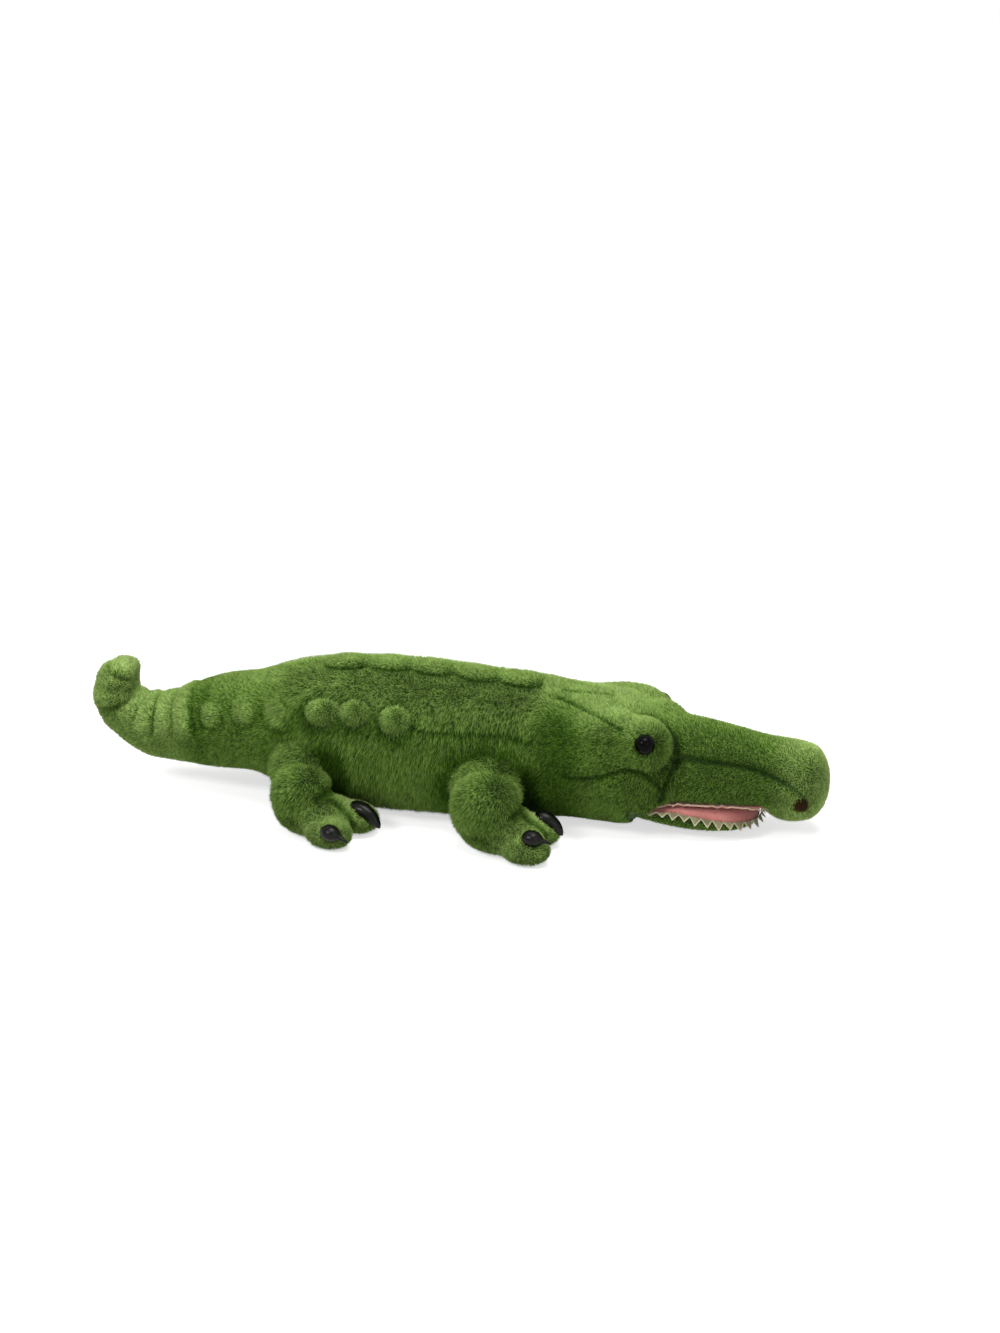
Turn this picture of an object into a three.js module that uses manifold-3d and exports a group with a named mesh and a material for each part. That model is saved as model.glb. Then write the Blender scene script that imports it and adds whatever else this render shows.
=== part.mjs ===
import * as THREE from 'three';
import { mergeVertices } from 'three/addons/utils/BufferGeometryUtils.js';
import Module from 'manifold-3d';

const wasm = await Module();
wasm.setup();

// A stuffed crocodile lying on its belly. All sizes are millimetres.
// +X points to the snout, +Y to the toy's left, +Z up, and the floor is z = 0 until the last lines.

// Shared clearances
const SEAM_GAP = 0.3; // between two neighbouring pieces
const SKIN = 3; // cloth with its flattened pile
const FLOOR_FLAT = 0.5; // how deep a resting form is cut flat
const OVERRUN = 900; // how far a cutting block reaches past what it cuts

// Torso, from the tail joint to the neck joint
const TORSO_LENGTH = 243;
const TORSO_WIDTH = 132;
const TORSO_HEIGHT = 124;
const TAIL_JOINT_X = -168;
const TAIL_JOINT_HEIGHT = 62.5;
const TAIL_JOINT_RADIUS = 42;
const NECK_HEIGHT = 60;
const NECK_RADIUS = 57.5;
const BELLY_PANEL_TOP = 12;

// Raised trim on the back and the flanks
const BACK_STRIP_WIDTH = 22;
const BACK_STRIP_THICKNESS = 2;
const SCALLOP_DEPTH = 4;
const SCALLOP_COUNT = 5;
const PUFF_RADIUS = 12;
const PUFF_DEPTH = 6.5;
const PUFF_HEIGHT = 92;
const PUFF_SEAM_WIDTH = 6;

// Head
const HEAD_LENGTH = 121;
const HEAD_WIDTH = 119;
const HEAD_HEIGHT = 116;
const EYE_MOUND_RADIUS = 23;
const EYE_MOUND_AHEAD = 89;
const EYE_MOUND_SPREAD = 36;
const EYE_MOUND_HEIGHT = 83;
const EYE_RADIUS = 7;
const EYE_SINK = 2;

// Snout and mouth
const SNOUT_LENGTH = 187; // neck joint to the seam of the snout tip
const SNOUT_WIDTH = 78;
const SNOUT_HEIGHT = 92;
const SNOUT_AXIS_HEIGHT = 44;
const TIP_LENGTH = 51;
const TIP_WIDTH = 63;
const TIP_HEIGHT = 81;
const PALATE_HEIGHT = 29.5;
const LINING_THICKNESS = 1.2;
const LIP_TRIM_WIDTH = 1.3;
const NOSTRIL_RADIUS = 6.2;
const NOSTRIL_THICKNESS = 1.6;
const NOSTRIL_HEIGHT = 38;
const NOSTRIL_AHEAD = 24;

// Lower jaw, measured from its hinge
const JAW_HINGE_AHEAD = 93;
const JAW_HINGE_HEIGHT = 12.5;
const JAW_HINGE_RADIUS = 12;
const JAW_LENGTH = 89;
const JAW_WIDTH = 88;
const JAW_RIM_HEIGHT = 22;
const JAW_TAPER_SHARE = 0.12;
const JAW_ROUNDNESS = 5;
const MOUTH_FLOOR_RISE = 1;
const MOUTH_FLOOR_THICKNESS = 2.7;
const TOOTH_PITCH = 8.6;
const TOOTH_DROP = 9;
const TOOTH_BAND = 3;
const FELT_THICKNESS = 1.5;

// Tail, measured back from its joint
const TAIL_LENGTH = 144;
const TAIL_CURL_HEIGHT = 113;
const RIB_RISE = 3;
const RIB_PITCH = 17;
const RIB_HEIGHT_SHARE = 0.5;
const RIB_LIFT_SHARE = 0.3;

// Legs, measured from their pivots
const FRONT_PIVOT = { x: 38, y: 54, z: 46 };
const REAR_PIVOT = { x: -120, y: 49, z: 44 };
const FRONT_LEG_RADIUS = 31;
const REAR_LEG_RADIUS = 28;
const LEG_HALF_HEIGHT = 27;
const FOREARM_REACH = 35;
const FOREARM_AHEAD = 8;
const FOREARM_DROP = 21;
const FOREARM_SLACK = 7;
const FOREARM_START_SHARE = 0.45;
const FOOT_LENGTH = 76;
const FOOT_WIDTH = 58;
const FOOT_HEIGHT = 34;
const FOOT_REACH = 32;
const FOOT_AHEAD = 20;
const FRONT_TURN_OUT = Math.PI / 20;
const REAR_TURN_OUT = Math.PI / 8;
const TOE_RADIUS = 17;
const TOE_HALF_HEIGHT = 13;
const TOE_SPACING = 38;
const TOE_AHEAD = 21;

// Claws and the press-on washers that hold claws and eyes
const CLAW_LENGTH = 28;
const CLAW_WIDTH = 14;
const CLAW_THICKNESS = 12;
const CLAW_HOOK = 8;
const CLAW_DROOP = Math.PI / 8;
const CLAW_SEAT_RISE = Math.PI / 5.5;
const CLAW_BULB_SHARE = 0.33;
const SHANK_RADIUS = 1.8;
const SHANK_LENGTH = 13;
const WASHER_RADIUS = 5.2;
const WASHER_THICKNESS = 2.6;
const WASHER_SEAT = 6.8; // depth of a washer's outer face below the middle of the cloth's outside

// Facet counts
const BODY_SIDES = 20;
const CORE_SIDES = 10;
const BALL_RINGS = 5;
const CORE_BALL_RINGS = 3;
const LEG_SIDES = 12;
const LIMB_SIDES = 8;
const CORE_LIMB_SIDES = 6;
const MOUND_SIDES = 10;
const CORE_MOUND_SIDES = 8;
const EYE_SIDES = 10;
const CLAW_SIDES = 6;
const SHANK_SIDES = 4;

// Range of each joint that its clearances are made for
const NECK_SWING = Math.PI / 18;
const TAIL_SWING = Math.PI / 9;
const RIM_SPARE = Math.PI / 90;

// Places that follow from the sizes
const NECK_X = TAIL_JOINT_X + TORSO_LENGTH;
const INNER = SKIN;
const CORE = SKIN + SEAM_GAP;
const TURN_SAFE = 1 / Math.cos(Math.PI / LEG_SIDES);
const BALL_SAFE = 1 / Math.cos(Math.PI / BODY_SIDES) ** 2;
const SHANK_SAFE = 1 / Math.cos(Math.PI / SHANK_SIDES);
const ROOF_UNDERSIDE = PALATE_HEIGHT + LINING_THICKNESS + SEAM_GAP;
const UPWARD = new THREE.Vector3(0, 0, 1);
const LEFTWARD = new THREE.Vector3(0, 1, 0);
const FAR = new THREE.Vector3(OVERRUN, OVERRUN, OVERRUN);
const toeSides = [-0.5, 0.5];
const LEGS = [
  { name: 'front_leg', pivot: FRONT_PIVOT, radius: FRONT_LEG_RADIUS, turnOut: FRONT_TURN_OUT },
  { name: 'rear_leg', pivot: REAR_PIVOT, radius: REAR_LEG_RADIUS, turnOut: REAR_TURN_OUT },
];

// Rows of shares: along the length, half width, lowest point, highest point
const torsoShares = [
  [0.128, 0.79, 0.065, 0.94],
  [0.28, 0.91, 0.016, 0.984],
  [0.407, 0.97, 0, 1],
  [0.54, 1, 0, 1],
  [0.67, 1, 0, 0.99],
  [0.815, 0.97, 0, 0.968],
];
const backStripStartShare = 0.25;
const headShares = [
  [0.21, 0.96, 0.035, 0.99],
  [0.45, 1, 0.025, 0.965],
  [0.64, 0.985, 0.025, 0.92],
  [0.78, 0.9, 0.07, 0.86],
  [0.9, 0.72, 0.16, 0.79],
  [0.97, 0.48, 0.27, 0.7],
];
const headFrontShare = 0.5;
const snoutShares = [
  [0.42, 0.95, 0.95],
  [0.58, 1, 1.02],
  [0.68, 0.98, 1],
  [0.83, 0.9, 0.945],
  [1, 0.82, 0.885],
  [1.1, 0.8, 0.88],
];
const tipShares = [
  [-0.15, 1, 0.28, 1],
  [0, 1, 0.27, 1],
  [0.16, 1.01, 0.19, 0.995],
  [0.38, 1, 0.15, 1],
  [0.62, 0.92, 0.165, 0.98],
  [0.8, 0.78, 0.23, 0.91],
  [0.93, 0.55, 0.34, 0.81],
];
const tipFrontShare = 0.58;
const nostrilShares = [0.35, -1, -0.25];
const eyeShares = [0.25, -1, 0.3];
const jawShares = [-0.3, 0, 0.25, 0.5, 0.7, 0.85, 0.94, 0.985];
// Rows of shares: back along the tail, height of its middle, half width, half height, tilt in turns
const tailShares = [
  [0, 0.553, 1, 1, 0],
  [0.2, 0.54, 0.905, 0.94, -0.005],
  [0.347, 0.5, 0.79, 0.83, -0.02],
  [0.493, 0.467, 0.667, 0.69, -0.01],
  [0.639, 0.467, 0.595, 0.63, 0.028],
  [0.757, 0.513, 0.52, 0.55, 0.083],
  [0.84, 0.62, 0.48, 0.5, 0.153],
  [0.852, 0.76, 0.45, 0.46, 0.217],
  [0.825, 0.885, 0.4, 0.41, 0.25],
  [0.8, 0.965, 0.26, 0.25, 0.275],
];
const tailTipShares = [0.79, 1];
const puffShares = [0.12, 0.255, 0.365, 0.52];
const ribShares = [1.5, 2.6, 3.7, 4.8, 5.9];
const clawShares = [
  [0.08, 0.62],
  [0.24, 1],
  [0.44, 0.92],
  [0.62, 0.62],
  [0.82, 0.34],
];

// Geometry and solid helpers

// Outer faces are finer than the faces of hollows and fillings
function facets(inset, fine, coarse) {
  return inset > 0 ? coarse : fine;
}

function solidFrom(geometry) {
  const bare = geometry.clone();
  bare.deleteAttribute('normal');
  bare.deleteAttribute('uv');
  const merged = mergeVertices(bare);
  const vertProperties = new Float32Array(merged.attributes.position.array);
  const triVerts = new Uint32Array(merged.index.array);
  return new wasm.Manifold(new wasm.Mesh({ numProp: 3, vertProperties, triVerts }));
}

function geometryFrom(solid) {
  const mesh = solid.getMesh();
  const geometry = new THREE.BufferGeometry();
  const places = new Float32Array(mesh.vertProperties);
  geometry.setAttribute('position', new THREE.BufferAttribute(places, 3));
  geometry.setIndex(new THREE.BufferAttribute(new Uint32Array(mesh.triVerts), 1));
  geometry.computeVertexNormals();
  return geometry;
}

function mirrored(geometry) {
  const copy = geometry.clone().scale(1, -1, 1);
  const index = copy.index.array;
  for (let i = 0; i < index.length; i += 3) {
    [index[i], index[i + 1]] = [index[i + 1], index[i]];
  }
  copy.computeVertexNormals();
  return copy;
}

function mirroredSolid(solid) {
  return solidFrom(mirrored(geometryFrom(solid)));
}

function joined(solids) {
  return solids.reduce((whole, next) => whole.add(next));
}

// The main body of a cut form, without the scraps that the cut leaves beside it
function mainBody(solid) {
  const bodies = solid.decompose();
  return bodies.reduce((main, next) => (next.volume() > main.volume() ? next : main));
}

function block(low, high) {
  const size = high.clone().sub(low);
  const middle = high.clone().add(low).multiplyScalar(0.5);
  const geometry = new THREE.BoxGeometry(size.x, size.y, size.z);
  return solidFrom(geometry.translate(middle.x, middle.y, middle.z));
}

function below(height) {
  return block(FAR.clone().negate(), FAR.clone().setZ(height));
}

function above(height) {
  return block(FAR.clone().negate().setZ(height), FAR);
}

function ahead(x) {
  return block(FAR.clone().negate().setX(x), FAR);
}

function behind(x) {
  return block(FAR.clone().negate(), FAR.clone().setX(x));
}

// A closed form through elliptical rings, with a point at each end.
// A ring is { centre, side, rise }, where side and rise are its half axes and side x rise points forward.
function ringForm(start, rings, end, sides) {
  const places = [start.x, start.y, start.z];
  rings.forEach((ring) => {
    for (let j = 0; j < sides; j += 1) {
      const angle = (2 * Math.PI * j) / sides;
      const point = ring.centre.clone();
      point.addScaledVector(ring.side, Math.cos(angle));
      point.addScaledVector(ring.rise, Math.sin(angle));
      places.push(point.x, point.y, point.z);
    }
  });
  places.push(end.x, end.y, end.z);
  const corner = (i, j) => 1 + i * sides + (j % sides);
  const last = 1 + rings.length * sides;
  const faces = [];
  for (let j = 0; j < sides; j += 1) {
    faces.push(0, corner(0, j + 1), corner(0, j));
    for (let i = 0; i + 1 < rings.length; i += 1) {
      faces.push(corner(i, j), corner(i, j + 1), corner(i + 1, j + 1));
      faces.push(corner(i, j), corner(i + 1, j + 1), corner(i + 1, j));
    }
    faces.push(last, corner(rings.length - 1, j), corner(rings.length - 1, j + 1));
  }
  const geometry = new THREE.BufferGeometry();
  geometry.setAttribute('position', new THREE.BufferAttribute(new Float32Array(places), 3));
  geometry.setIndex(faces);
  return geometry;
}

// A ring square to X, given by its half width and its lowest and highest points
function uprightRing(x, halfWidth, low, high) {
  return {
    centre: new THREE.Vector3(x, 0, (low + high) / 2),
    side: new THREE.Vector3(0, halfWidth, 0),
    rise: new THREE.Vector3(0, 0, (high - low) / 2),
  };
}

// Rings of a ball end, from its equator to near its pole
function ballRings(x, z, radius, forward, count) {
  return Array.from({ length: count }, (_, i) => {
    const angle = (i * Math.PI) / (2 * count);
    const reach = radius * Math.cos(angle);
    return uprightRing(x + forward * radius * Math.sin(angle), reach, z - reach, z + reach);
  });
}

// A round room for a ball joint at x = 0. One of its faces looks along X, close to the ball's pole.
function ballRoom(z, radius) {
  const geometry = new THREE.SphereGeometry(1, BODY_SIDES, BODY_SIDES / 2);
  geometry.rotateX(Math.PI / 2).rotateZ(Math.PI / BODY_SIDES);
  const reach = (radius + SEAM_GAP) * BALL_SAFE;
  return solidFrom(geometry.scale(reach, reach, reach).translate(0, 0, z));
}

// An ellipsoid with its poles up and down
function ellipsoid(x, y, z, halfX, halfY, halfZ, sides) {
  const geometry = new THREE.SphereGeometry(1, sides, sides / 2);
  geometry.rotateX(Math.PI / 2);
  return solidFrom(geometry.scale(halfX, halfY, halfZ).translate(x, y, z));
}

// A round bar that starts at a point and runs along a direction
function bar(start, direction, radius, length, sides) {
  const geometry = new THREE.CylinderGeometry(radius, radius, length, sides);
  geometry.translate(0, length / 2, 0);
  const turn = new THREE.Quaternion().setFromUnitVectors(new THREE.Vector3(0, 1, 0), direction);
  geometry.applyQuaternion(turn);
  return solidFrom(geometry.translate(start.x, start.y, start.z));
}

// Torso

function torsoForm(inset) {
  const count = facets(inset, BALL_RINGS, CORE_BALL_RINGS);
  const tailRadius = TAIL_JOINT_RADIUS - inset;
  const neckRadius = NECK_RADIUS - inset;
  const middle = torsoShares.map(([along, width, low, high]) => uprightRing(
    TAIL_JOINT_X + along * TORSO_LENGTH,
    (width * TORSO_WIDTH) / 2 - inset,
    low * TORSO_HEIGHT - FLOOR_FLAT + inset,
    high * TORSO_HEIGHT - inset,
  ));
  const rings = [
    ...ballRings(TAIL_JOINT_X, TAIL_JOINT_HEIGHT, tailRadius, -1, count).reverse(),
    ...middle,
    ...ballRings(NECK_X, NECK_HEIGHT, neckRadius, 1, count),
  ];
  const start = new THREE.Vector3(TAIL_JOINT_X - tailRadius, 0, TAIL_JOINT_HEIGHT);
  const end = new THREE.Vector3(NECK_X + neckRadius, 0, NECK_HEIGHT);
  return solidFrom(ringForm(start, rings, end, facets(inset, BODY_SIDES, CORE_SIDES)));
}

function legPockets() {
  return joined([[FRONT_PIVOT, FRONT_LEG_RADIUS], [REAR_PIVOT, REAR_LEG_RADIUS]].flatMap(
    ([pivot, legRadius]) => [-1, 1].map((side) => {
      const radius = (legRadius + SEAM_GAP) * TURN_SAFE;
      const halfHeight = LEG_HALF_HEIGHT + SEAM_GAP;
      return ellipsoid(pivot.x, side * pivot.y, pivot.z, radius, radius, halfHeight, LEG_SIDES);
    }),
  ));
}

function makeTorso() {
  const outside = torsoForm(0).subtract(below(0));
  const shell = outside.subtract(torsoForm(INNER)).subtract(legPockets());
  return {
    torso_skin: shell.subtract(below(BELLY_PANEL_TOP)),
    belly_panel: shell.intersect(below(BELLY_PANEL_TOP - SEAM_GAP)),
    torso_stuffing: torsoForm(CORE).subtract(legPockets()),
    back_strip: makeBackStrip(),
    flank_puffs_right: makeFlankPuffs(),
  };
}

// A skin-deep layer that lies on the torso
function torsoLayer(thickness) {
  return torsoForm(-SEAM_GAP - thickness).subtract(torsoForm(-SEAM_GAP));
}

function backStripOutline() {
  const start = TAIL_JOINT_X + backStripStartShare * TORSO_LENGTH;
  const length = NECK_X - start;
  const pitch = length / SCALLOP_COUNT;
  const halfWidth = BACK_STRIP_WIDTH / 2;
  const outline = new THREE.Shape();
  outline.moveTo(start, -halfWidth);
  for (let i = 0; i < SCALLOP_COUNT; i += 1) {
    const x = start + i * pitch;
    outline.quadraticCurveTo(x + pitch / 2, -halfWidth - 2 * SCALLOP_DEPTH, x + pitch, -halfWidth);
  }
  outline.lineTo(start + length, halfWidth);
  for (let i = SCALLOP_COUNT; i > 0; i -= 1) {
    const x = start + i * pitch;
    outline.quadraticCurveTo(x - pitch / 2, halfWidth + 2 * SCALLOP_DEPTH, x - pitch, halfWidth);
  }
  return outline;
}

function makeBackStrip() {
  const column = new THREE.ExtrudeGeometry(backStripOutline(), {
    depth: TORSO_HEIGHT,
    bevelEnabled: false,
    curveSegments: 3,
  });
  column.translate(0, 0, TORSO_HEIGHT / 2);
  return torsoLayer(BACK_STRIP_THICKNESS).intersect(solidFrom(column));
}

// Half width of the torso at a place along it and a height
function torsoSideAt(x, z) {
  const rows = torsoShares.map(([along, width, low, high]) => ({
    x: TAIL_JOINT_X + along * TORSO_LENGTH,
    halfWidth: (width * TORSO_WIDTH) / 2,
    low: low * TORSO_HEIGHT,
    high: high * TORSO_HEIGHT,
  }));
  const next = Math.max(1, rows.findIndex((row) => row.x >= x));
  const [a, b] = [rows[next - 1], rows[next]];
  const share = (x - a.x) / (b.x - a.x);
  const mix = (key) => a[key] + share * (b[key] - a[key]);
  const middle = (mix('low') + mix('high')) / 2;
  const lift = (z - middle) / (mix('high') - middle);
  return mix('halfWidth') * Math.sqrt(1 - lift * lift);
}

function makeFlankPuffs() {
  const places = puffShares.map((share) => TAIL_JOINT_X + share * TORSO_LENGTH);
  const puffs = places.map((x) => {
    const y = -torsoSideAt(x, PUFF_HEIGHT);
    return ellipsoid(x, y, PUFF_HEIGHT, PUFF_RADIUS, PUFF_DEPTH, PUFF_RADIUS, MOUND_SIDES);
  });
  const low = new THREE.Vector3(places[0], -OVERRUN, PUFF_HEIGHT - PUFF_SEAM_WIDTH / 2);
  const high = new THREE.Vector3(places.at(-1), 0, PUFF_HEIGHT + PUFF_SEAM_WIDTH / 2);
  const seam = torsoLayer(BACK_STRIP_THICKNESS).intersect(block(low, high));
  return joined([...puffs, seam]).subtract(torsoForm(-SEAM_GAP));
}

// Head, in the frame of the neck joint: x from the joint, z from the floor

function headForm(inset) {
  const neckLow = NECK_HEIGHT - NECK_RADIUS;
  const neckHigh = NECK_HEIGHT + NECK_RADIUS;
  const rings = [
    uprightRing(0, NECK_RADIUS - inset, neckLow + inset, neckHigh - inset),
    ...headShares.map(([along, width, low, high]) => uprightRing(
      along * HEAD_LENGTH,
      (width * HEAD_WIDTH) / 2 - inset,
      low * HEAD_HEIGHT + inset,
      high * HEAD_HEIGHT - inset,
    )),
  ];
  const start = new THREE.Vector3(0, 0, NECK_HEIGHT);
  const end = new THREE.Vector3(HEAD_LENGTH - inset, 0, headFrontShare * HEAD_HEIGHT);
  const skull = solidFrom(ringForm(start, rings, end, facets(inset, BODY_SIDES, CORE_SIDES)));
  const radius = EYE_MOUND_RADIUS - inset;
  const mounds = [-1, 1].map((side) => ellipsoid(
    EYE_MOUND_AHEAD,
    side * EYE_MOUND_SPREAD,
    EYE_MOUND_HEIGHT,
    radius,
    radius,
    radius,
    facets(inset, MOUND_SIDES, CORE_MOUND_SIDES),
  ));
  return joined([skull, ...mounds]);
}

// The snout runs on from inside the head
function snoutBody(inset) {
  const rings = snoutShares.map(([along, width, high]) => uprightRing(
    along * SNOUT_LENGTH,
    (width * SNOUT_WIDTH) / 2 - inset,
    2 * SNOUT_AXIS_HEIGHT - high * SNOUT_HEIGHT + inset,
    high * SNOUT_HEIGHT - inset,
  ));
  const start = new THREE.Vector3(rings[0].centre.x, 0, SNOUT_AXIS_HEIGHT);
  const end = new THREE.Vector3(rings.at(-1).centre.x, 0, SNOUT_AXIS_HEIGHT);
  return solidFrom(ringForm(start, rings, end, facets(inset, BODY_SIDES, CORE_SIDES)));
}

function snoutForm(inset) {
  return snoutBody(inset).subtract(below(ROOF_UNDERSIDE + inset));
}

function tipForm(inset) {
  const rings = tipShares.map(([along, width, low, high]) => uprightRing(
    SNOUT_LENGTH + along * TIP_LENGTH,
    (width * TIP_WIDTH) / 2 - inset,
    low * TIP_HEIGHT + inset,
    high * TIP_HEIGHT - inset,
  ));
  const start = new THREE.Vector3(rings[0].centre.x, 0, tipFrontShare * TIP_HEIGHT);
  const end = new THREE.Vector3(SNOUT_LENGTH + TIP_LENGTH - inset, 0, tipFrontShare * TIP_HEIGHT);
  return solidFrom(ringForm(start, rings, end, facets(inset, BODY_SIDES, CORE_SIDES)));
}

// Room for the lower jaw: a round seat for its rear end, and all that lies ahead of it
function jawRoom(extra) {
  const radius = (JAW_HINGE_RADIUS + SEAM_GAP) * TURN_SAFE + extra;
  const start = new THREE.Vector3(JAW_HINGE_AHEAD, -OVERRUN, JAW_HINGE_HEIGHT);
  const seat = bar(start, LEFTWARD, radius, 2 * OVERRUN, LEG_SIDES);
  const low = new THREE.Vector3(JAW_HINGE_AHEAD - extra, -OVERRUN, -OVERRUN);
  const high = new THREE.Vector3(OVERRUN, OVERRUN, ROOF_UNDERSIDE + extra);
  return seat.add(block(low, high));
}

// Room for the torso's front ball, and all that lies behind the head's rim
function neckCup() {
  const rim = NECK_RADIUS * Math.sin(NECK_SWING + RIM_SPARE);
  return ballRoom(NECK_HEIGHT, NECK_RADIUS).add(behind(rim));
}

function makeHeadStuffing(rooms) {
  const skull = headForm(CORE).subtract(jawRoom(CORE));
  const snout = snoutForm(CORE).subtract(ahead(SNOUT_LENGTH));
  const tip = tipForm(CORE).subtract(behind(SNOUT_LENGTH - SEAM_GAP / 2));
  return joined([skull, snout, tip]).subtract(neckCup()).subtract(rooms);
}

function makeHead() {
  const eye = eyeParts();
  const holes = eye.hole.add(mirroredSolid(eye.hole));
  const rooms = eye.washerRoom.add(mirroredSolid(eye.washerRoom)).add(holes);
  const outside = headForm(0).subtract(jawRoom(0)).subtract(neckCup());
  const inside = headForm(INNER).subtract(jawRoom(INNER));
  const snoutInside = snoutForm(INNER);
  const snoutOutside = snoutForm(0).subtract(ahead(SNOUT_LENGTH - SEAM_GAP / 2));
  const tipOutside = tipForm(0).subtract(behind(SNOUT_LENGTH + SEAM_GAP / 2));
  return {
    head_skin: outside.subtract(inside).subtract(snoutInside).subtract(holes),
    snout_skin: snoutOutside.subtract(headForm(-SEAM_GAP)).subtract(snoutInside),
    snout_tip: tipOutside.subtract(tipForm(INNER)),
    head_stuffing: makeHeadStuffing(rooms),
    eye_right: eye.eye,
    eye_washer_right: eye.washer,
    nostril_right: makeNostril(),
    palate_lining: makePalate(),
    lip_trim: makeLipTrim(),
  };
}

// The roof of the mouth as a slab: the head and the snout seen from below
function mouthRoof(inset, low, high) {
  const plan = headForm(inset).add(snoutBody(inset));
  const front = SNOUT_LENGTH - FELT_THICKNESS - inset;
  const room = ahead(JAW_HINGE_AHEAD + SEAM_GAP).intersect(behind(front));
  return plan.intersect(above(low)).intersect(below(high)).intersect(room);
}

function makePalate() {
  return mouthRoof(LIP_TRIM_WIDTH + SEAM_GAP, PALATE_HEIGHT, PALATE_HEIGHT + LINING_THICKNESS);
}

function makeLipTrim() {
  const low = PALATE_HEIGHT - LINING_THICKNESS;
  const high = PALATE_HEIGHT + LINING_THICKNESS;
  return mouthRoof(0, low, high).subtract(mouthRoof(LIP_TRIM_WIDTH, low - SEAM_GAP, high + SEAM_GAP));
}

function makeNostril() {
  const direction = new THREE.Vector3(...nostrilShares).normalize();
  const middle = new THREE.Vector3(SNOUT_LENGTH + NOSTRIL_AHEAD, 0, NOSTRIL_HEIGHT);
  const plug = bar(middle, direction, NOSTRIL_RADIUS, TIP_WIDTH, EYE_SIDES);
  const seat = tipForm(-SEAM_GAP);
  return tipForm(-SEAM_GAP - NOSTRIL_THICKNESS).subtract(seat).intersect(plug);
}

// A shank through a skin with its washer inside: the surface point and the way in set its line
function fastener(surface, inward) {
  const outside = surface.clone().addScaledVector(inward, -SHANK_RADIUS);
  const seat = surface.clone().addScaledVector(inward, WASHER_SEAT);
  const washerDepth = WASHER_SEAT + WASHER_THICKNESS + SEAM_GAP;
  const holeRadius = (SHANK_RADIUS + SEAM_GAP) * SHANK_SAFE;
  const hole = bar(outside, inward, holeRadius, SHANK_LENGTH + 2 * SHANK_RADIUS, SHANK_SIDES);
  return {
    hole,
    shank: bar(outside, inward, SHANK_RADIUS, SHANK_LENGTH, SHANK_SIDES),
    washer: bar(seat, inward, WASHER_RADIUS, WASHER_THICKNESS, CLAW_SIDES).subtract(hole),
    washerRoom: bar(surface, inward, WASHER_RADIUS + SEAM_GAP, washerDepth, CLAW_SIDES),
  };
}

// The right eye with its shank and washer, on the outer face of its mound
function eyeParts() {
  const direction = new THREE.Vector3(...eyeShares).normalize();
  const mound = new THREE.Vector3(EYE_MOUND_AHEAD, -EYE_MOUND_SPREAD, EYE_MOUND_HEIGHT);
  const surface = mound.clone().addScaledVector(direction, EYE_MOUND_RADIUS);
  const middle = surface.clone().addScaledVector(direction, -EYE_SINK);
  const dome = ellipsoid(middle.x, middle.y, middle.z, EYE_RADIUS, EYE_RADIUS, EYE_RADIUS, EYE_SIDES);
  const { hole, shank, washer, washerRoom } = fastener(surface, direction.clone().negate());
  return {
    hole,
    washerRoom,
    eye: dome.subtract(headForm(-SEAM_GAP)).add(shank),
    washer: washer.intersect(headForm(CORE)),
  };
}

// Lower jaw, in the frame of its hinge: x from the hinge, z from the floor

// Half width of the jaw at a share of its length: a slow taper, then a round front
function jawHalfWidth(share) {
  const along = Math.max(0, share);
  return (JAW_WIDTH / 2) * (1 - JAW_TAPER_SHARE * along) * Math.sqrt(1 - along ** JAW_ROUNDNESS);
}

function jawForm(inset, top) {
  const rings = jawShares.map((share) => {
    const depth = (JAW_RIM_HEIGHT + FLOOR_FLAT) * Math.sqrt(1 - Math.max(0, share) ** JAW_ROUNDNESS);
    const x = share * (JAW_LENGTH - inset);
    const low = JAW_RIM_HEIGHT - depth + inset;
    const high = JAW_RIM_HEIGHT + depth - inset;
    return uprightRing(x, jawHalfWidth(share) - inset, low, high);
  });
  const start = new THREE.Vector3(rings[0].centre.x, 0, JAW_RIM_HEIGHT);
  const end = new THREE.Vector3(JAW_LENGTH - inset, 0, JAW_RIM_HEIGHT);
  const tray = solidFrom(ringForm(start, rings, end, facets(inset, BODY_SIDES, CORE_SIDES)));
  const hinge = new THREE.Vector3(0, -OVERRUN, JAW_HINGE_HEIGHT);
  const knuckle = bar(hinge, LEFTWARD, JAW_HINGE_RADIUS - inset, 2 * OVERRUN, LEG_SIDES);
  return tray.intersect(knuckle.add(ahead(0))).subtract(above(top));
}

// Points along the rim of the jaw, from its right rear corner round the front to its left one
function jawRim(offset, pitch) {
  const steps = Math.round((2 * JAW_LENGTH) / FELT_THICKNESS);
  const raw = [];
  for (let i = 0; i <= steps; i += 1) {
    const turn = Math.PI * (i / steps);
    const share = Math.sin(turn);
    raw.push(new THREE.Vector2(share * JAW_LENGTH, -Math.sign(Math.cos(turn)) * jawHalfWidth(share)));
  }
  const path = new THREE.SplineCurve(raw);
  path.arcLengthDivisions = 2 * steps;
  const count = 2 * Math.round(path.getLength() / pitch);
  return Array.from({ length: count + 1 }, (_, i) => {
    const point = path.getPointAt(i / count);
    const tangent = path.getTangentAt(i / count);
    return point.add(new THREE.Vector2(tangent.y, -tangent.x).multiplyScalar(offset));
  });
}

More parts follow.
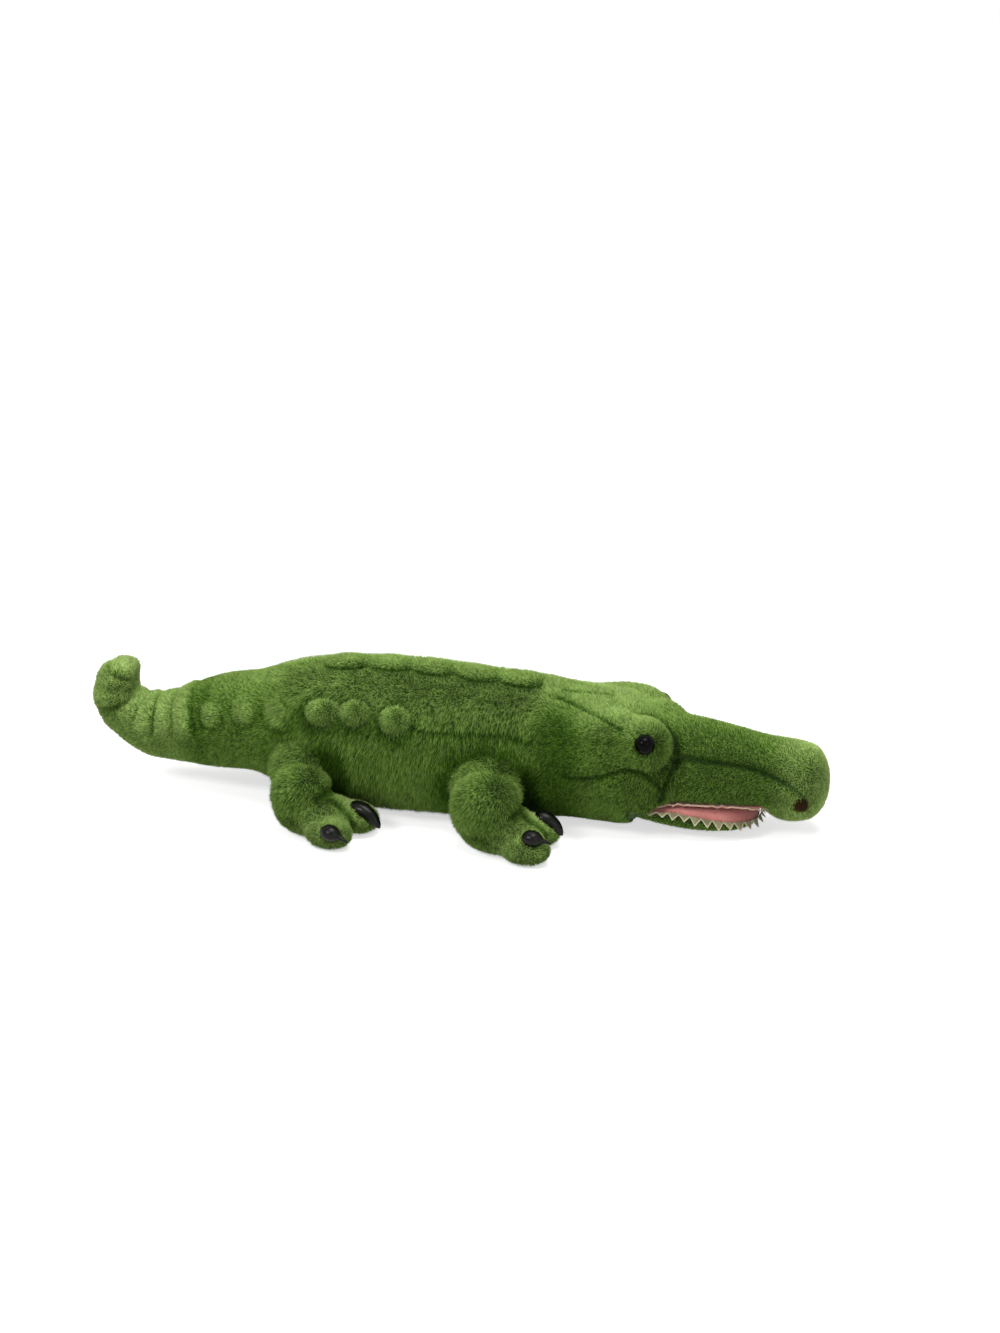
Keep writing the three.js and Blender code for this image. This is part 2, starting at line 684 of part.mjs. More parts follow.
// A felt band with a row of teeth that hang down outside the rim
function makeToothStrip() {
  const inner = jawRim(SEAM_GAP, TOOTH_PITCH);
  const outer = jawRim(SEAM_GAP + FELT_THICKNESS, TOOTH_PITCH);
  const top = JAW_RIM_HEIGHT + SEAM_GAP;
  const places = inner.flatMap((point, i) => {
    const low = top - TOOTH_BAND - (i % 2) * TOOTH_DROP;
    const far = outer[i];
    return [point.x, point.y, low, far.x, far.y, low, far.x, far.y, top, point.x, point.y, top];
  });
  const faces = [0, 1, 2, 0, 2, 3];
  for (let i = 0; i + 1 < inner.length; i += 1) {
    for (let k = 0; k < 4; k += 1) {
      const near = 4 * i + k;
      const beside = 4 * i + ((k + 1) % 4);
      faces.push(near, near + 4, beside + 4, near, beside + 4, beside);
    }
  }
  const end = 4 * (inner.length - 1);
  faces.push(end, end + 2, end + 1, end, end + 3, end + 2);
  const geometry = new THREE.BufferGeometry();
  geometry.setAttribute('position', new THREE.BufferAttribute(new Float32Array(places), 3));
  geometry.setIndex(faces);
  return solidFrom(geometry);
}

function makeJaw() {
  const outside = jawForm(0, JAW_RIM_HEIGHT).subtract(below(0));
  const inside = jawForm(INNER, OVERRUN);
  const floorTop = JAW_RIM_HEIGHT + MOUTH_FLOOR_RISE;
  const floorLow = floorTop - MOUTH_FLOOR_THICKNESS;
  const room = above(floorLow).intersect(below(floorTop));
  return {
    jaw_skin: outside.subtract(inside),
    jaw_stuffing: jawForm(CORE, floorLow - SEAM_GAP),
    mouth_floor: jawForm(CORE, OVERRUN).intersect(room),
    tooth_strip: makeToothStrip(),
  };
}

// Tail, in the frame of its joint: x from the joint, z from the floor

// A ring of the tail at a row number of its table, which may lie between two rows
function tailRing(row, inset) {
  const first = Math.min(Math.floor(row), tailShares.length - 2);
  const next = tailShares[first + 1];
  const mix = tailShares[first].map((value, k) => value + (row - first) * (next[k] - value));
  const [back, height, width, tall, turns] = mix;
  const tilt = 2 * Math.PI * turns;
  const upright = new THREE.Vector3(Math.sin(tilt), 0, Math.cos(tilt));
  return {
    centre: new THREE.Vector3(-back * TAIL_LENGTH, 0, height * TAIL_CURL_HEIGHT),
    side: new THREE.Vector3(0, width * TAIL_JOINT_RADIUS - inset, 0),
    rise: upright.multiplyScalar(tall * TAIL_JOINT_RADIUS - inset),
    tilt,
  };
}

function tailForm(inset) {
  const rings = tailShares.map((_, row) => tailRing(row, inset)).reverse();
  const [back, height] = tailTipShares;
  const tip = new THREE.Vector3(-back * TAIL_LENGTH, 0, height * TAIL_CURL_HEIGHT - inset);
  return solidFrom(ringForm(tip, rings, rings.at(-1).centre, facets(inset, BODY_SIDES, CORE_SIDES)));
}

// A rib stands out from the side of the tail where its row of the table says
function tailRib(row, side) {
  const ring = tailRing(row, 0);
  const halfWidth = ring.side.length();
  const halfHeight = ring.rise.length();
  const geometry = new THREE.SphereGeometry(1, LIMB_SIDES, LIMB_SIDES / 2);
  geometry.scale(RIB_PITCH / 2, RIB_RISE * 2, halfHeight * RIB_HEIGHT_SHARE);
  geometry.rotateY(ring.tilt);
  const middle = ring.centre.clone().addScaledVector(ring.rise, RIB_LIFT_SHARE);
  const reach = halfWidth * Math.sqrt(1 - RIB_LIFT_SHARE ** 2) - RIB_RISE;
  geometry.translate(middle.x, side * reach, middle.z);
  return solidFrom(geometry);
}

function makeTail() {
  const ribs = ribShares.flatMap((row) => [-1, 1].map((side) => tailRib(row, side)));
  const rim = -TAIL_JOINT_RADIUS * Math.sin(TAIL_SWING + RIM_SPARE);
  const cup = ballRoom(TAIL_JOINT_HEIGHT, TAIL_JOINT_RADIUS).add(ahead(rim));
  const outside = joined([tailForm(0), ...ribs]);
  return {
    tail_skin: outside.subtract(tailForm(INNER)).subtract(cup),
    tail_stuffing: tailForm(CORE).subtract(cup),
  };
}

// Legs, in the frame of the pivot, for the right side of the toy, whose outward direction is -Y

// A limb between two points, with round ends
function limb(start, end, radius, sides) {
  const forward = end.clone().sub(start).normalize();
  const side = new THREE.Vector3().crossVectors(UPWARD, forward).normalize();
  const rise = new THREE.Vector3().crossVectors(forward, side);
  const ringAt = (middle, angle) => ({
    centre: middle.clone().addScaledVector(forward, radius * Math.sin(angle)),
    side: side.clone().multiplyScalar(radius * Math.cos(angle)),
    rise: rise.clone().multiplyScalar(radius * Math.cos(angle)),
  });
  const angles = [0, 1, 2].map((i) => (i * Math.PI) / 6);
  const rings = [
    ...angles.map((angle) => ringAt(start, -angle)).reverse(),
    ...angles.map((angle) => ringAt(end, angle)),
  ];
  const rear = start.clone().addScaledVector(forward, -radius);
  const front = end.clone().addScaledVector(forward, radius);
  return solidFrom(ringForm(rear, rings, front, sides));
}

function legForm(leg, inset) {
  const radius = leg.radius - inset;
  const halfHeight = LEG_HALF_HEIGHT - inset;
  const sides = facets(inset, LEG_SIDES, CORE_SIDES);
  const shoulder = ellipsoid(0, 0, 0, radius, radius, halfHeight, sides);
  const elbow = new THREE.Vector3(FOREARM_AHEAD, -FOREARM_REACH, -FOREARM_DROP);
  const start = elbow.clone().multiplyScalar(FOREARM_START_SHARE);
  const limbSides = facets(inset, LIMB_SIDES, CORE_LIMB_SIDES);
  return shoulder.add(limb(start, elbow, radius - FOREARM_SLACK, limbSides));
}

function footFrame(leg) {
  const forward = new THREE.Vector3(Math.cos(leg.turnOut), -Math.sin(leg.turnOut), 0);
  return {
    forward,
    across: new THREE.Vector3(-forward.y, forward.x, 0),
    middle: new THREE.Vector3(FOOT_AHEAD, -FOOT_REACH, FOOT_HEIGHT / 2 - FLOOR_FLAT - leg.pivot.z),
  };
}

function toePlaces(leg) {
  const { forward, across, middle } = footFrame(leg);
  return toeSides.map((side) => {
    const place = middle.clone().addScaledVector(across, side * TOE_SPACING);
    place.addScaledVector(forward, TOE_AHEAD);
    return place.setZ(TOE_HALF_HEIGHT - FLOOR_FLAT - leg.pivot.z);
  });
}

function footForm(leg, inset) {
  const { middle } = footFrame(leg);
  const sides = facets(inset, LIMB_SIDES, CORE_LIMB_SIDES);
  const sole = new THREE.SphereGeometry(1, sides, sides / 2);
  sole.rotateX(Math.PI / 2);
  sole.scale(FOOT_LENGTH / 2 - inset, FOOT_WIDTH / 2 - inset, FOOT_HEIGHT / 2 - inset);
  sole.rotateZ(-leg.turnOut);
  sole.translate(middle.x, middle.y, middle.z);
  const radius = TOE_RADIUS - inset;
  const halfHeight = TOE_HALF_HEIGHT - inset;
  const toes = toePlaces(leg).map(
    (toe) => ellipsoid(toe.x, toe.y, toe.z, radius, radius, halfHeight, sides),
  );
  return joined([solidFrom(sole), ...toes]);
}

// A direction in the upright plane of the foot, raised from straight ahead by an angle
function raised(forward, angle) {
  return forward.clone().multiplyScalar(Math.cos(angle)).addScaledVector(UPWARD, Math.sin(angle));
}

// A claw sits on the front of its toe, points ahead and hooks down
function makeClaw(leg, toe) {
  const { forward, across } = footFrame(leg);
  const outward = raised(forward, CLAW_SEAT_RISE);
  const along = raised(forward, -CLAW_DROOP);
  const upright = raised(forward, Math.PI / 2 - CLAW_DROOP);
  const surface = toe.clone().addScaledVector(forward, TOE_RADIUS * Math.cos(CLAW_SEAT_RISE));
  surface.addScaledVector(UPWARD, TOE_HALF_HEIGHT * Math.sin(CLAW_SEAT_RISE));
  const path = (share) => surface.clone()
    .addScaledVector(along, CLAW_LENGTH * (share - CLAW_BULB_SHARE))
    .addScaledVector(UPWARD, -CLAW_HOOK * share ** 2);
  const rings = clawShares.map(([share, size]) => ({
    centre: path(share),
    side: across.clone().multiplyScalar((size * CLAW_WIDTH) / 2),
    rise: upright.clone().multiplyScalar((size * CLAW_THICKNESS) / 2),
  }));
  const horn = solidFrom(ringForm(path(0), rings, path(1), CLAW_SIDES));
  const { hole, shank, washer, washerRoom } = fastener(surface, outward.clone().negate());
  return {
    hole,
    washerRoom,
    claw: horn.subtract(footForm(leg, -SEAM_GAP)).add(shank),
    washer: washer.intersect(footForm(leg, CORE)),
  };
}

function makeLeg(leg) {
  const underFloor = below(-leg.pivot.z);
  const claws = toePlaces(leg).map((toe) => makeClaw(leg, toe));
  const holes = joined(claws.map((claw) => claw.hole));
  const rooms = joined(claws.map((claw) => claw.washerRoom));
  const foot = footForm(leg, 0).subtract(underFloor).subtract(footForm(leg, INNER));
  const stuffing = legForm(leg, CORE).add(footForm(leg, CORE));
  const inside = legForm(leg, INNER).add(footForm(leg, INNER));
  const parts = {
    [`${leg.name}_skin`]: legForm(leg, 0).subtract(underFloor).subtract(inside),
    [`${leg.name}_foot`]: mainBody(foot.subtract(legForm(leg, -SEAM_GAP))).subtract(holes),
    [`${leg.name}_stuffing`]: stuffing.subtract(holes).subtract(rooms),
  };
  claws.forEach((claw, i) => {
    parts[`${leg.name}_claw_${i + 1}`] = claw.claw;
    parts[`${leg.name}_washer_${i + 1}`] = claw.washer;
  });
  return parts;
}

// Finishes

function finish(color, roughness) {
  return new THREE.MeshStandardMaterial({ color, roughness, metalness: 0 });
}

const longPile = () => finish('#4c7a35', 0.95);
const shortPile = () => finish('#67964a', 0.92);
const feltCloth = () => finish('#aaa189', 0.9);
const velourLining = () => finish('#b9656b', 0.85);
const stuffingFill = () => finish('#e9e7e0', 1);
const glossBlack = () => finish('#0c0b0c', 0.12);
const washerPlastic = () => finish('#d8d8d2', 0.45);
const nostrilCloth = () => finish('#43201c', 0.95);

function finishOf(name) {
  if (/stuffing/.test(name)) return stuffingFill();
  if (/washer/.test(name)) return washerPlastic();
  if (/claw|^eye/.test(name)) return glossBlack();
  if (/nostril/.test(name)) return nostrilCloth();
  if (/tooth|trim/.test(name)) return feltCloth();
  if (/palate|mouth/.test(name)) return velourLining();
  return /foot|puffs|strip|tip/.test(name) ? shortPile() : longPile();
}

// Assembly

function meshOf(name, geometry) {
  const mesh = new THREE.Mesh(geometry, finishOf(name));
  mesh.name = name;
  return mesh;
}

// A group at a joint. Its pieces are made with the floor at z = 0, so they hang that much below it.
function jointGroup(x, z, parts) {
  const group = new THREE.Group();
  group.position.set(x, 0, z);
  Object.entries(parts).forEach(([name, solid]) => {
    const mesh = meshOf(name, geometryFrom(solid));
    mesh.position.z = -z;
    group.add(mesh);
  });
  return group;
}

// A leg and its twin on the left
function legGroups(leg) {
  const parts = makeLeg(leg);
  return [-1, 1].map((side) => {
    const group = new THREE.Group();
    group.position.set(leg.pivot.x, side * leg.pivot.y, leg.pivot.z);
    Object.entries(parts).forEach(([name, solid]) => {
      const geometry = geometryFrom(solid);
      const twin = side > 0 ? mirrored(geometry) : geometry;
      group.add(meshOf(name.replace('leg', side > 0 ? 'leg_left' : 'leg_right'), twin));
    });
    return group;
  });
}

function addTwins(group) {
  [...group.children].filter((mesh) => mesh.name.endsWith('_right')).forEach((mesh) => {
    const twin = meshOf(mesh.name.replace('_right', '_left'), mirrored(mesh.geometry));
    twin.position.copy(mesh.position);
    group.add(twin);
  });
}

function assemble() {
  const body = jointGroup(0, 0, makeTorso());
  const head = jointGroup(NECK_X, NECK_HEIGHT, makeHead());
  const jaw = jointGroup(JAW_HINGE_AHEAD, JAW_HINGE_HEIGHT, makeJaw());
  jaw.position.z -= NECK_HEIGHT;
  const tail = jointGroup(TAIL_JOINT_X, TAIL_JOINT_HEIGHT, makeTail());
  [body, head].forEach(addTwins);
  head.add(jaw);
  body.add(head, tail, ...LEGS.flatMap(legGroups));
  return body;
}

// Centre the toy over its own footprint, standing on z = 0
const toy = assemble();
toy.updateMatrixWorld(true);
const extent = new THREE.Box3().setFromObject(toy, true);
const middle = extent.getCenter(new THREE.Vector3());
toy.position.set(-middle.x, -middle.y, -extent.min.z);

export default toy;
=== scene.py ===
"""Plush crocodile on its belly: pile skins, felt teeth, a velour mouth lining, plastic eyes and claws."""

import logging
import math
from collections.abc import Callable
from dataclasses import dataclass
from enum import Enum

import bmesh
import bpy
import numpy as np
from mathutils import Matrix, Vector
from mathutils.bvhtree import BVHTree
from mathutils.kdtree import KDTree


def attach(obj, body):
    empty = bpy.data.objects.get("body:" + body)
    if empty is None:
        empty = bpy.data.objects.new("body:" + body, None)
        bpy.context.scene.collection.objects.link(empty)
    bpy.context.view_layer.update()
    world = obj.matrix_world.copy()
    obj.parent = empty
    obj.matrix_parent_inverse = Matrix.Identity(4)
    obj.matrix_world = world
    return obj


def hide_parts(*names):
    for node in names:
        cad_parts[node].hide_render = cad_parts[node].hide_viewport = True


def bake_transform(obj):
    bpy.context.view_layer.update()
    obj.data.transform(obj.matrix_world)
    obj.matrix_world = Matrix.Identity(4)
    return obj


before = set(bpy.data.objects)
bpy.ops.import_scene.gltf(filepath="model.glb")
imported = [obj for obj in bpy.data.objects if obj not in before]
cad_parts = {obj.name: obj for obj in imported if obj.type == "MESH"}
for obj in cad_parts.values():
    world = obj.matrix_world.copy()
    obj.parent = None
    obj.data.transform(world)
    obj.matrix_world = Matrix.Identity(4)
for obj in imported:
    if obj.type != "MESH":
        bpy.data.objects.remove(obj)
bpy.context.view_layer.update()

logging.basicConfig(level=logging.INFO, format="%(message)s")
log = logging.getLogger("crocodile")

Array = np.ndarray
Colour = tuple[float, float, float]
Point = tuple[float, float, float]
Rows = tuple[tuple[float, ...], ...]
Faces = list[tuple[int, ...]]
Fields = dict[str, Array]
Material = bpy.types.Material
Mesh = bpy.types.Mesh
Object = bpy.types.Object
Socket = bpy.types.NodeSocket
Inputs = dict[str | int, object]

MM = 0.001
CENTRING = np.array([-1.7029, 0.0, 0.0])
UP = np.array([0.0, 0.0, 1.0])
LEFT = np.array([0.0, 1.0, 0.0])
OTHER_SIDE = np.array([1.0, -1.0, 1.0])
HINGE = (168.0, 12.5)
SIDES = (("right", -1), ("left", 1))


class Body(Enum):
    """The record's material slots, passed along with the pieces but given to none of them."""

    TORSO = "torso"
    HEAD = "head"
    JAW = "jaw"
    TAIL = "tail"


class Slot(Enum):
    """The record's material slots that the scene's pieces use."""

    LONG_PILE = "long_pile"
    SHORT_PILE = "short_pile"
    FELT = "felt_cloth"
    VELOUR = "velour_lining"
    NOSTRIL = "nostril_cloth"
    GLOSS = "gloss_black"


# Small sums


def linear(colour: Colour) -> tuple[float, float, float, float]:
    """A colour of 0 to 255 as it is seen, as the linear values that a shader takes."""
    parts = [c / 255 for c in colour]
    values = [p / 12.92 if p <= 0.04045 else ((p + 0.055) / 1.055) ** 2.4 for p in parts]
    return (values[0], values[1], values[2], 1.0)


def unit(vectors: Array) -> Array:
    """Vectors brought to length one, row by row."""
    return vectors / np.maximum(np.linalg.norm(vectors, axis=-1, keepdims=True), 1e-9)


def step(low: float, high: float, values: Array | float) -> Array:
    """A smooth step from 0 at low to 1 at high, read at some values."""
    share = np.clip((np.asarray(values) - low) / (high - low), 0, 1)
    return share * share * (3 - 2 * share)


def bump(middle: float, reach: float, values: Array) -> Array:
    """A smooth hump of height one about a middle, zero beyond its reach."""
    return 1 - step(0, reach, np.abs(values - middle))


def lengths_along(line: Array) -> Array:
    """How far along a line each of its points lies."""
    return np.concatenate([[0.0], np.cumsum(np.linalg.norm(np.diff(line, axis=0), axis=1))])


def evenly(line: Array, at: Array) -> Array:
    """Points of a line at given lengths along it."""
    along = lengths_along(line)
    return np.stack([np.interp(at, along, line[:, k]) for k in range(line.shape[1])], axis=1)


def smooth_rows(rows: Rows | list, steps: int, places: int = 2) -> Array:
    """Rows of a table with cubic steps between them.

    Args:
        rows: The table's rows, whose first columns are places.
        steps: How many steps go between two rows.
        places: How many columns are places.

    Returns:
        The finer table.
    """
    table = np.array(rows, float)
    at = lengths_along(table[:, :places])
    slopes = np.gradient(table, at, axis=0)
    fine = []
    for i, gap in enumerate(np.diff(at)):
        for t in np.arange(steps) / steps:
            a, b = 2 * t**3 - 3 * t**2 + 1, t**3 - 2 * t**2 + t
            c, d = -2 * t**3 + 3 * t**2, t**3 - t**2
            fine.append(a * table[i] + b * gap * slopes[i] + c * table[i + 1] + d * gap * slopes[i + 1])
    fine.append(table[-1])
    return np.array(fine)


def nearest_tree(places: list) -> KDTree:
    """A tree that finds the nearest of some places."""
    tree = KDTree(len(places))
    for i, place in enumerate(places):
        tree.insert(place, i)
    tree.balance()
    return tree


# Surfaces


@dataclass
class Shape:
    """A surface in millimetres, in the toy's own frame, as points and faces."""

    points: Array
    faces: Faces

    def mirrored(self) -> "Shape":
        """The same surface for the other side of the toy."""
        return Shape(self.points * OTHER_SIDE, [tuple(reversed(f)) for f in self.faces])

    def tree(self) -> BVHTree:
        """A tree that finds places on the surface."""
        return BVHTree.FromPolygons([Vector(p) for p in self.points], self.faces)

    def normals(self) -> Array:
        """The outward direction at each point."""
        normals = np.zeros_like(self.points)
        by_size: dict[int, Faces] = {}
        for face in self.faces:
            by_size.setdefault(len(face), []).append(face)
        for size, faces in by_size.items():
            corners = np.array(faces)
            p = self.points[corners]
            cross = np.zeros((len(faces), 3))
            for i in range(1, size - 1):
                cross += np.cross(p[:, i] - p[:, 0], p[:, i + 1] - p[:, 0])
            for i in range(size):
                for k in range(3):
                    normals[:, k] += np.bincount(corners[:, i], cross[:, k], len(normals))
        return unit(normals)

    def pushed(self, offsets: Array) -> None:
        """Moves each point of a skin, but none below the floor's least height."""
        self.points += offsets
        self.points[:, 2] = np.maximum(self.points[:, 2], 0.5)


@dataclass
class Skin:
    """A surface with the fields that its pile grows by: pile, comb, tone and cover."""

    shape: Shape
    fields: Fields

    def mirrored(self) -> "Skin":
        """The same skin for the other side of the toy."""
        return Skin(self.shape.mirrored(), {**self.fields, "comb": self.fields["comb"] * OTHER_SIDE})


@dataclass
class Ring:
    """An elliptical ring of a loft by its centre and its two half axes."""

    centre: Array
    side: Array
    rise: Array


def loft(rings: list[Ring], start: Array, end: Array, sides: int = 40) -> Shape:
    """A closed surface through rings, with a point at each end.

    Args:
        rings: The rings in order.
        start: The point before the first ring.
        end: The point after the last ring.
        sides: How many points a ring has.

    Returns:
        The surface.
    """
    turns = 2 * np.pi * np.arange(sides) / sides
    rows = [r.centre + np.outer(np.cos(turns), r.side) + np.outer(np.sin(turns), r.rise) for r in rings]
    points = np.vstack([start, *rows, end])
    last, last_row = len(points) - 1, 1 + (len(rings) - 1) * sides
    faces: Faces = []
    for j in range(sides):
        k = (j + 1) % sides
        faces.append((0, 1 + k, 1 + j))
        for a in range(1, last_row, sides):
            faces.append((a + j, a + k, a + sides + k, a + sides + j))
        faces.append((last, last_row + j, last_row + k))
    return Shape(points, faces)


def capped(rings: list[Ring], start: Array, end: Array, sides: int) -> Shape:
    """A loft whose ends are rounded off between the last rings and the end points."""

    def cap(ring: Ring, pole: Array) -> list[Ring]:
        """Rings of a rounded end."""
        turns = [math.radians(a) for a in (20, 40, 58, 72, 82)]
        waists = [(ring.centre + (pole - ring.centre) * math.sin(t), math.cos(t)) for t in turns]
        return [Ring(centre, ring.side * share, ring.rise * share) for centre, share in waists]

    return loft([*reversed(cap(rings[0], start)), *rings, *cap(rings[-1], end)], start, end, sides)


def dome(middle: Array, ahead: Array, across: Array, up: Array, levels: int, sides: int) -> Shape:
    """An ellipsoid by its middle and its three half axes, with its poles on the last one."""
    rings = [
        Ring(middle + up * math.sin(a), ahead * math.cos(a), across * math.cos(a))
        for a in np.linspace(-0.5, 0.5, levels)[1:-1] * np.pi
    ]
    return loft(rings, middle - up, middle + up, sides)


def ellipsoid(centre: Array, half: Point, turn: float = 0.0, sides: int = 28) -> Shape:
    """An upright ellipsoid of given half sizes, turned about the upright axis in radians."""
    ahead = np.array([math.cos(turn), math.sin(turn), 0.0])
    across = np.array([-ahead[1], ahead[0], 0.0])
    return dome(np.asarray(centre), ahead * half[0], across * half[1], UP * half[2], sides // 2 + 1, sides)


def stitched(rows: list) -> Shape:
    """A closed shape through outlines that have as many points, flat at both ends."""
    count, total = len(rows[0]), len(rows[0]) * len(rows)
    faces: Faces = [tuple(reversed(range(count))), tuple(range(total - count, total))]
    for a in range(0, total - count, count):
        for j, k in zip(range(count), [*range(1, count), 0]):
            faces.append((a + j, a + k, a + count + k, a + count + j))
    return Shape(np.vstack(rows), faces)


def slab(tops: list, lows: list, columns: int) -> Shape:
    """A closed sheet between two grids of points that have as many rows and columns."""
    total = len(tops)
    faces: Faces = []
    for row in range(0, total - columns, columns):
        for a in range(row, row + columns - 1):
            faces.append((a, a + columns, a + columns + 1, a + 1))
            faces.append((total + a, total + a + 1, total + a + columns + 1, total + a + columns))
        for a, b in ((row, row + columns), (row + 2 * columns - 1, row + columns - 1)):
            faces.append((a, total + a, total + b, b))
    for j in range(columns - 1):
        last = total - columns + j
        faces += [(j, j + 1, total + j + 1, total + j), (last + 1, last, total + last, total + last + 1)]
    return Shape(np.array([*tops, *lows]), faces)


def placed(name: str, data: bpy.types.ID) -> Object:
    """A new object in the scene."""
    made = bpy.data.objects.new(name, data)
    bpy.context.scene.collection.objects.link(made)
    return made


def reworked(mesh: Mesh, change: Callable[[bmesh.types.BMesh], object]) -> Mesh:
    """A new mesh: a given one after a change to its points and faces."""
    work = bmesh.new()
    work.from_mesh(mesh)
    change(work)
    made = bpy.data.meshes.new("mesh")
    work.to_mesh(made)
    work.free()
    return made


def draft(shapes: list[Shape]) -> Object:
    """An object in millimetres for work with modifiers, with its faces turned outwards."""
    mesh = bpy.data.meshes.new("draft")
    faces, base = [], 0
    for shape in shapes:
        faces += [tuple(base + i for i in face) for face in shape.faces]
        base += len(shape.points)
    mesh.from_pydata(np.vstack([s.points for s in shapes]).tolist(), [], faces)
    turned = reworked(mesh, lambda work: bmesh.ops.recalc_face_normals(work, faces=work.faces))
    return placed("draft", turned)


def evaluated(made: Object) -> Mesh:
    """The mesh of an object after its modifiers; the object is then removed."""
    graph = bpy.context.evaluated_depsgraph_get()
    mesh = bpy.data.meshes.new_from_object(made.evaluated_get(graph), depsgraph=graph)
    bpy.data.objects.remove(made)
    return mesh


def shape_of(made: Object) -> Shape:
    """The surface of a draft after its modifiers."""
    mesh = evaluated(made)
    points = np.zeros(3 * len(mesh.vertices))
    mesh.vertices.foreach_get("co", points)
    return Shape(points.reshape(-1, 3), [tuple(p.vertices) for p in mesh.polygons])


def united(shapes: list[Shape], voxel: float) -> Shape:
    """One closed skin of four-sided faces, of the voxel's size, round closed shapes that may overlap."""
    made = draft(shapes)
    remesh = made.modifiers.new("Remesh", "REMESH")
    remesh.mode, remesh.voxel_size = "VOXEL", voxel
    return shape_of(made)


def carved(body: Shape, tool: Shape) -> Shape:
    """A closed shape with another taken out of it."""
    made, cutter = draft([body]), draft([tool])
    cut = made.modifiers.new("Cut", "BOOLEAN")
    cut.operation, cut.solver, cut.object = "DIFFERENCE", "EXACT", cutter
    result = shape_of(made)
    bpy.data.objects.remove(cutter)
    return result


def relaxed(shape: Shape, rounds: int) -> Shape:
    """A surface with each point drawn half way to the middle of its neighbours, some rounds over."""
    pairs = [(f[i], f[(i + 1) % len(f)]) for f in shape.faces for i in range(len(f))]
    a, b = np.unique(np.sort(np.array(pairs), axis=1), axis=0).T
    count = len(shape.points)
    degree = np.bincount(a, minlength=count) + np.bincount(b, minlength=count)
    points = shape.points.copy()
    for _ in range(rounds):
        sums = [np.bincount(a, points[b, k], count) + np.bincount(b, points[a, k], count) for k in range(3)]
        points += 0.5 * (np.stack(sums, axis=1) / np.maximum(degree, 1)[:, None] - points)
    return Shape(points, shape.faces)


def mesh_of(shape: Shape, fields: Fields | None = None, smooth: bool = True) -> Mesh:
    """A Blender mesh in metres from a surface in millimetres.

    Args:
        shape: The surface.
        fields: Named values for each point, of one or three numbers.
        smooth: Whether its faces shade smoothly.

    Returns:
        The mesh.
    """
    mesh = bpy.data.meshes.new("mesh")
    mesh.from_pydata(((shape.points + CENTRING) * MM).tolist(), [], shape.faces)
    for key, values in (fields or {}).items():
        kind, slot = ("FLOAT_VECTOR", "vector") if values.ndim == 2 else ("FLOAT", "value")
        mesh.attributes.new(key, kind, "POINT").data.foreach_set(slot, values.astype(np.float32).ravel())
    mesh.polygons.foreach_set("use_smooth", [smooth] * len(mesh.polygons))
    mesh.update()
    return mesh


def piece(
    mesh: Mesh,
    name: str,
    finish: Material,
    nodes: tuple[str, ...] = (),
    body: str = "",
) -> Object:
    """A shown piece at the origin.

    Args:
        mesh: Its mesh, in metres.
        name: Its name.
        finish: Its material.
        nodes: The CAD nodes that it stands for.
        body: The body that it rides on, if it doesn't bend between two.

    Returns:
        The piece.
    """
    mesh.name = name
    made = placed(name, mesh)
    mesh.materials.clear()
    mesh.materials.append(finish)
    if nodes:
        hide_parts(*nodes)
    if body:
        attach(made, body)
    log.info("%s: %d faces", name, len(mesh.polygons))
    return made


# Finishes


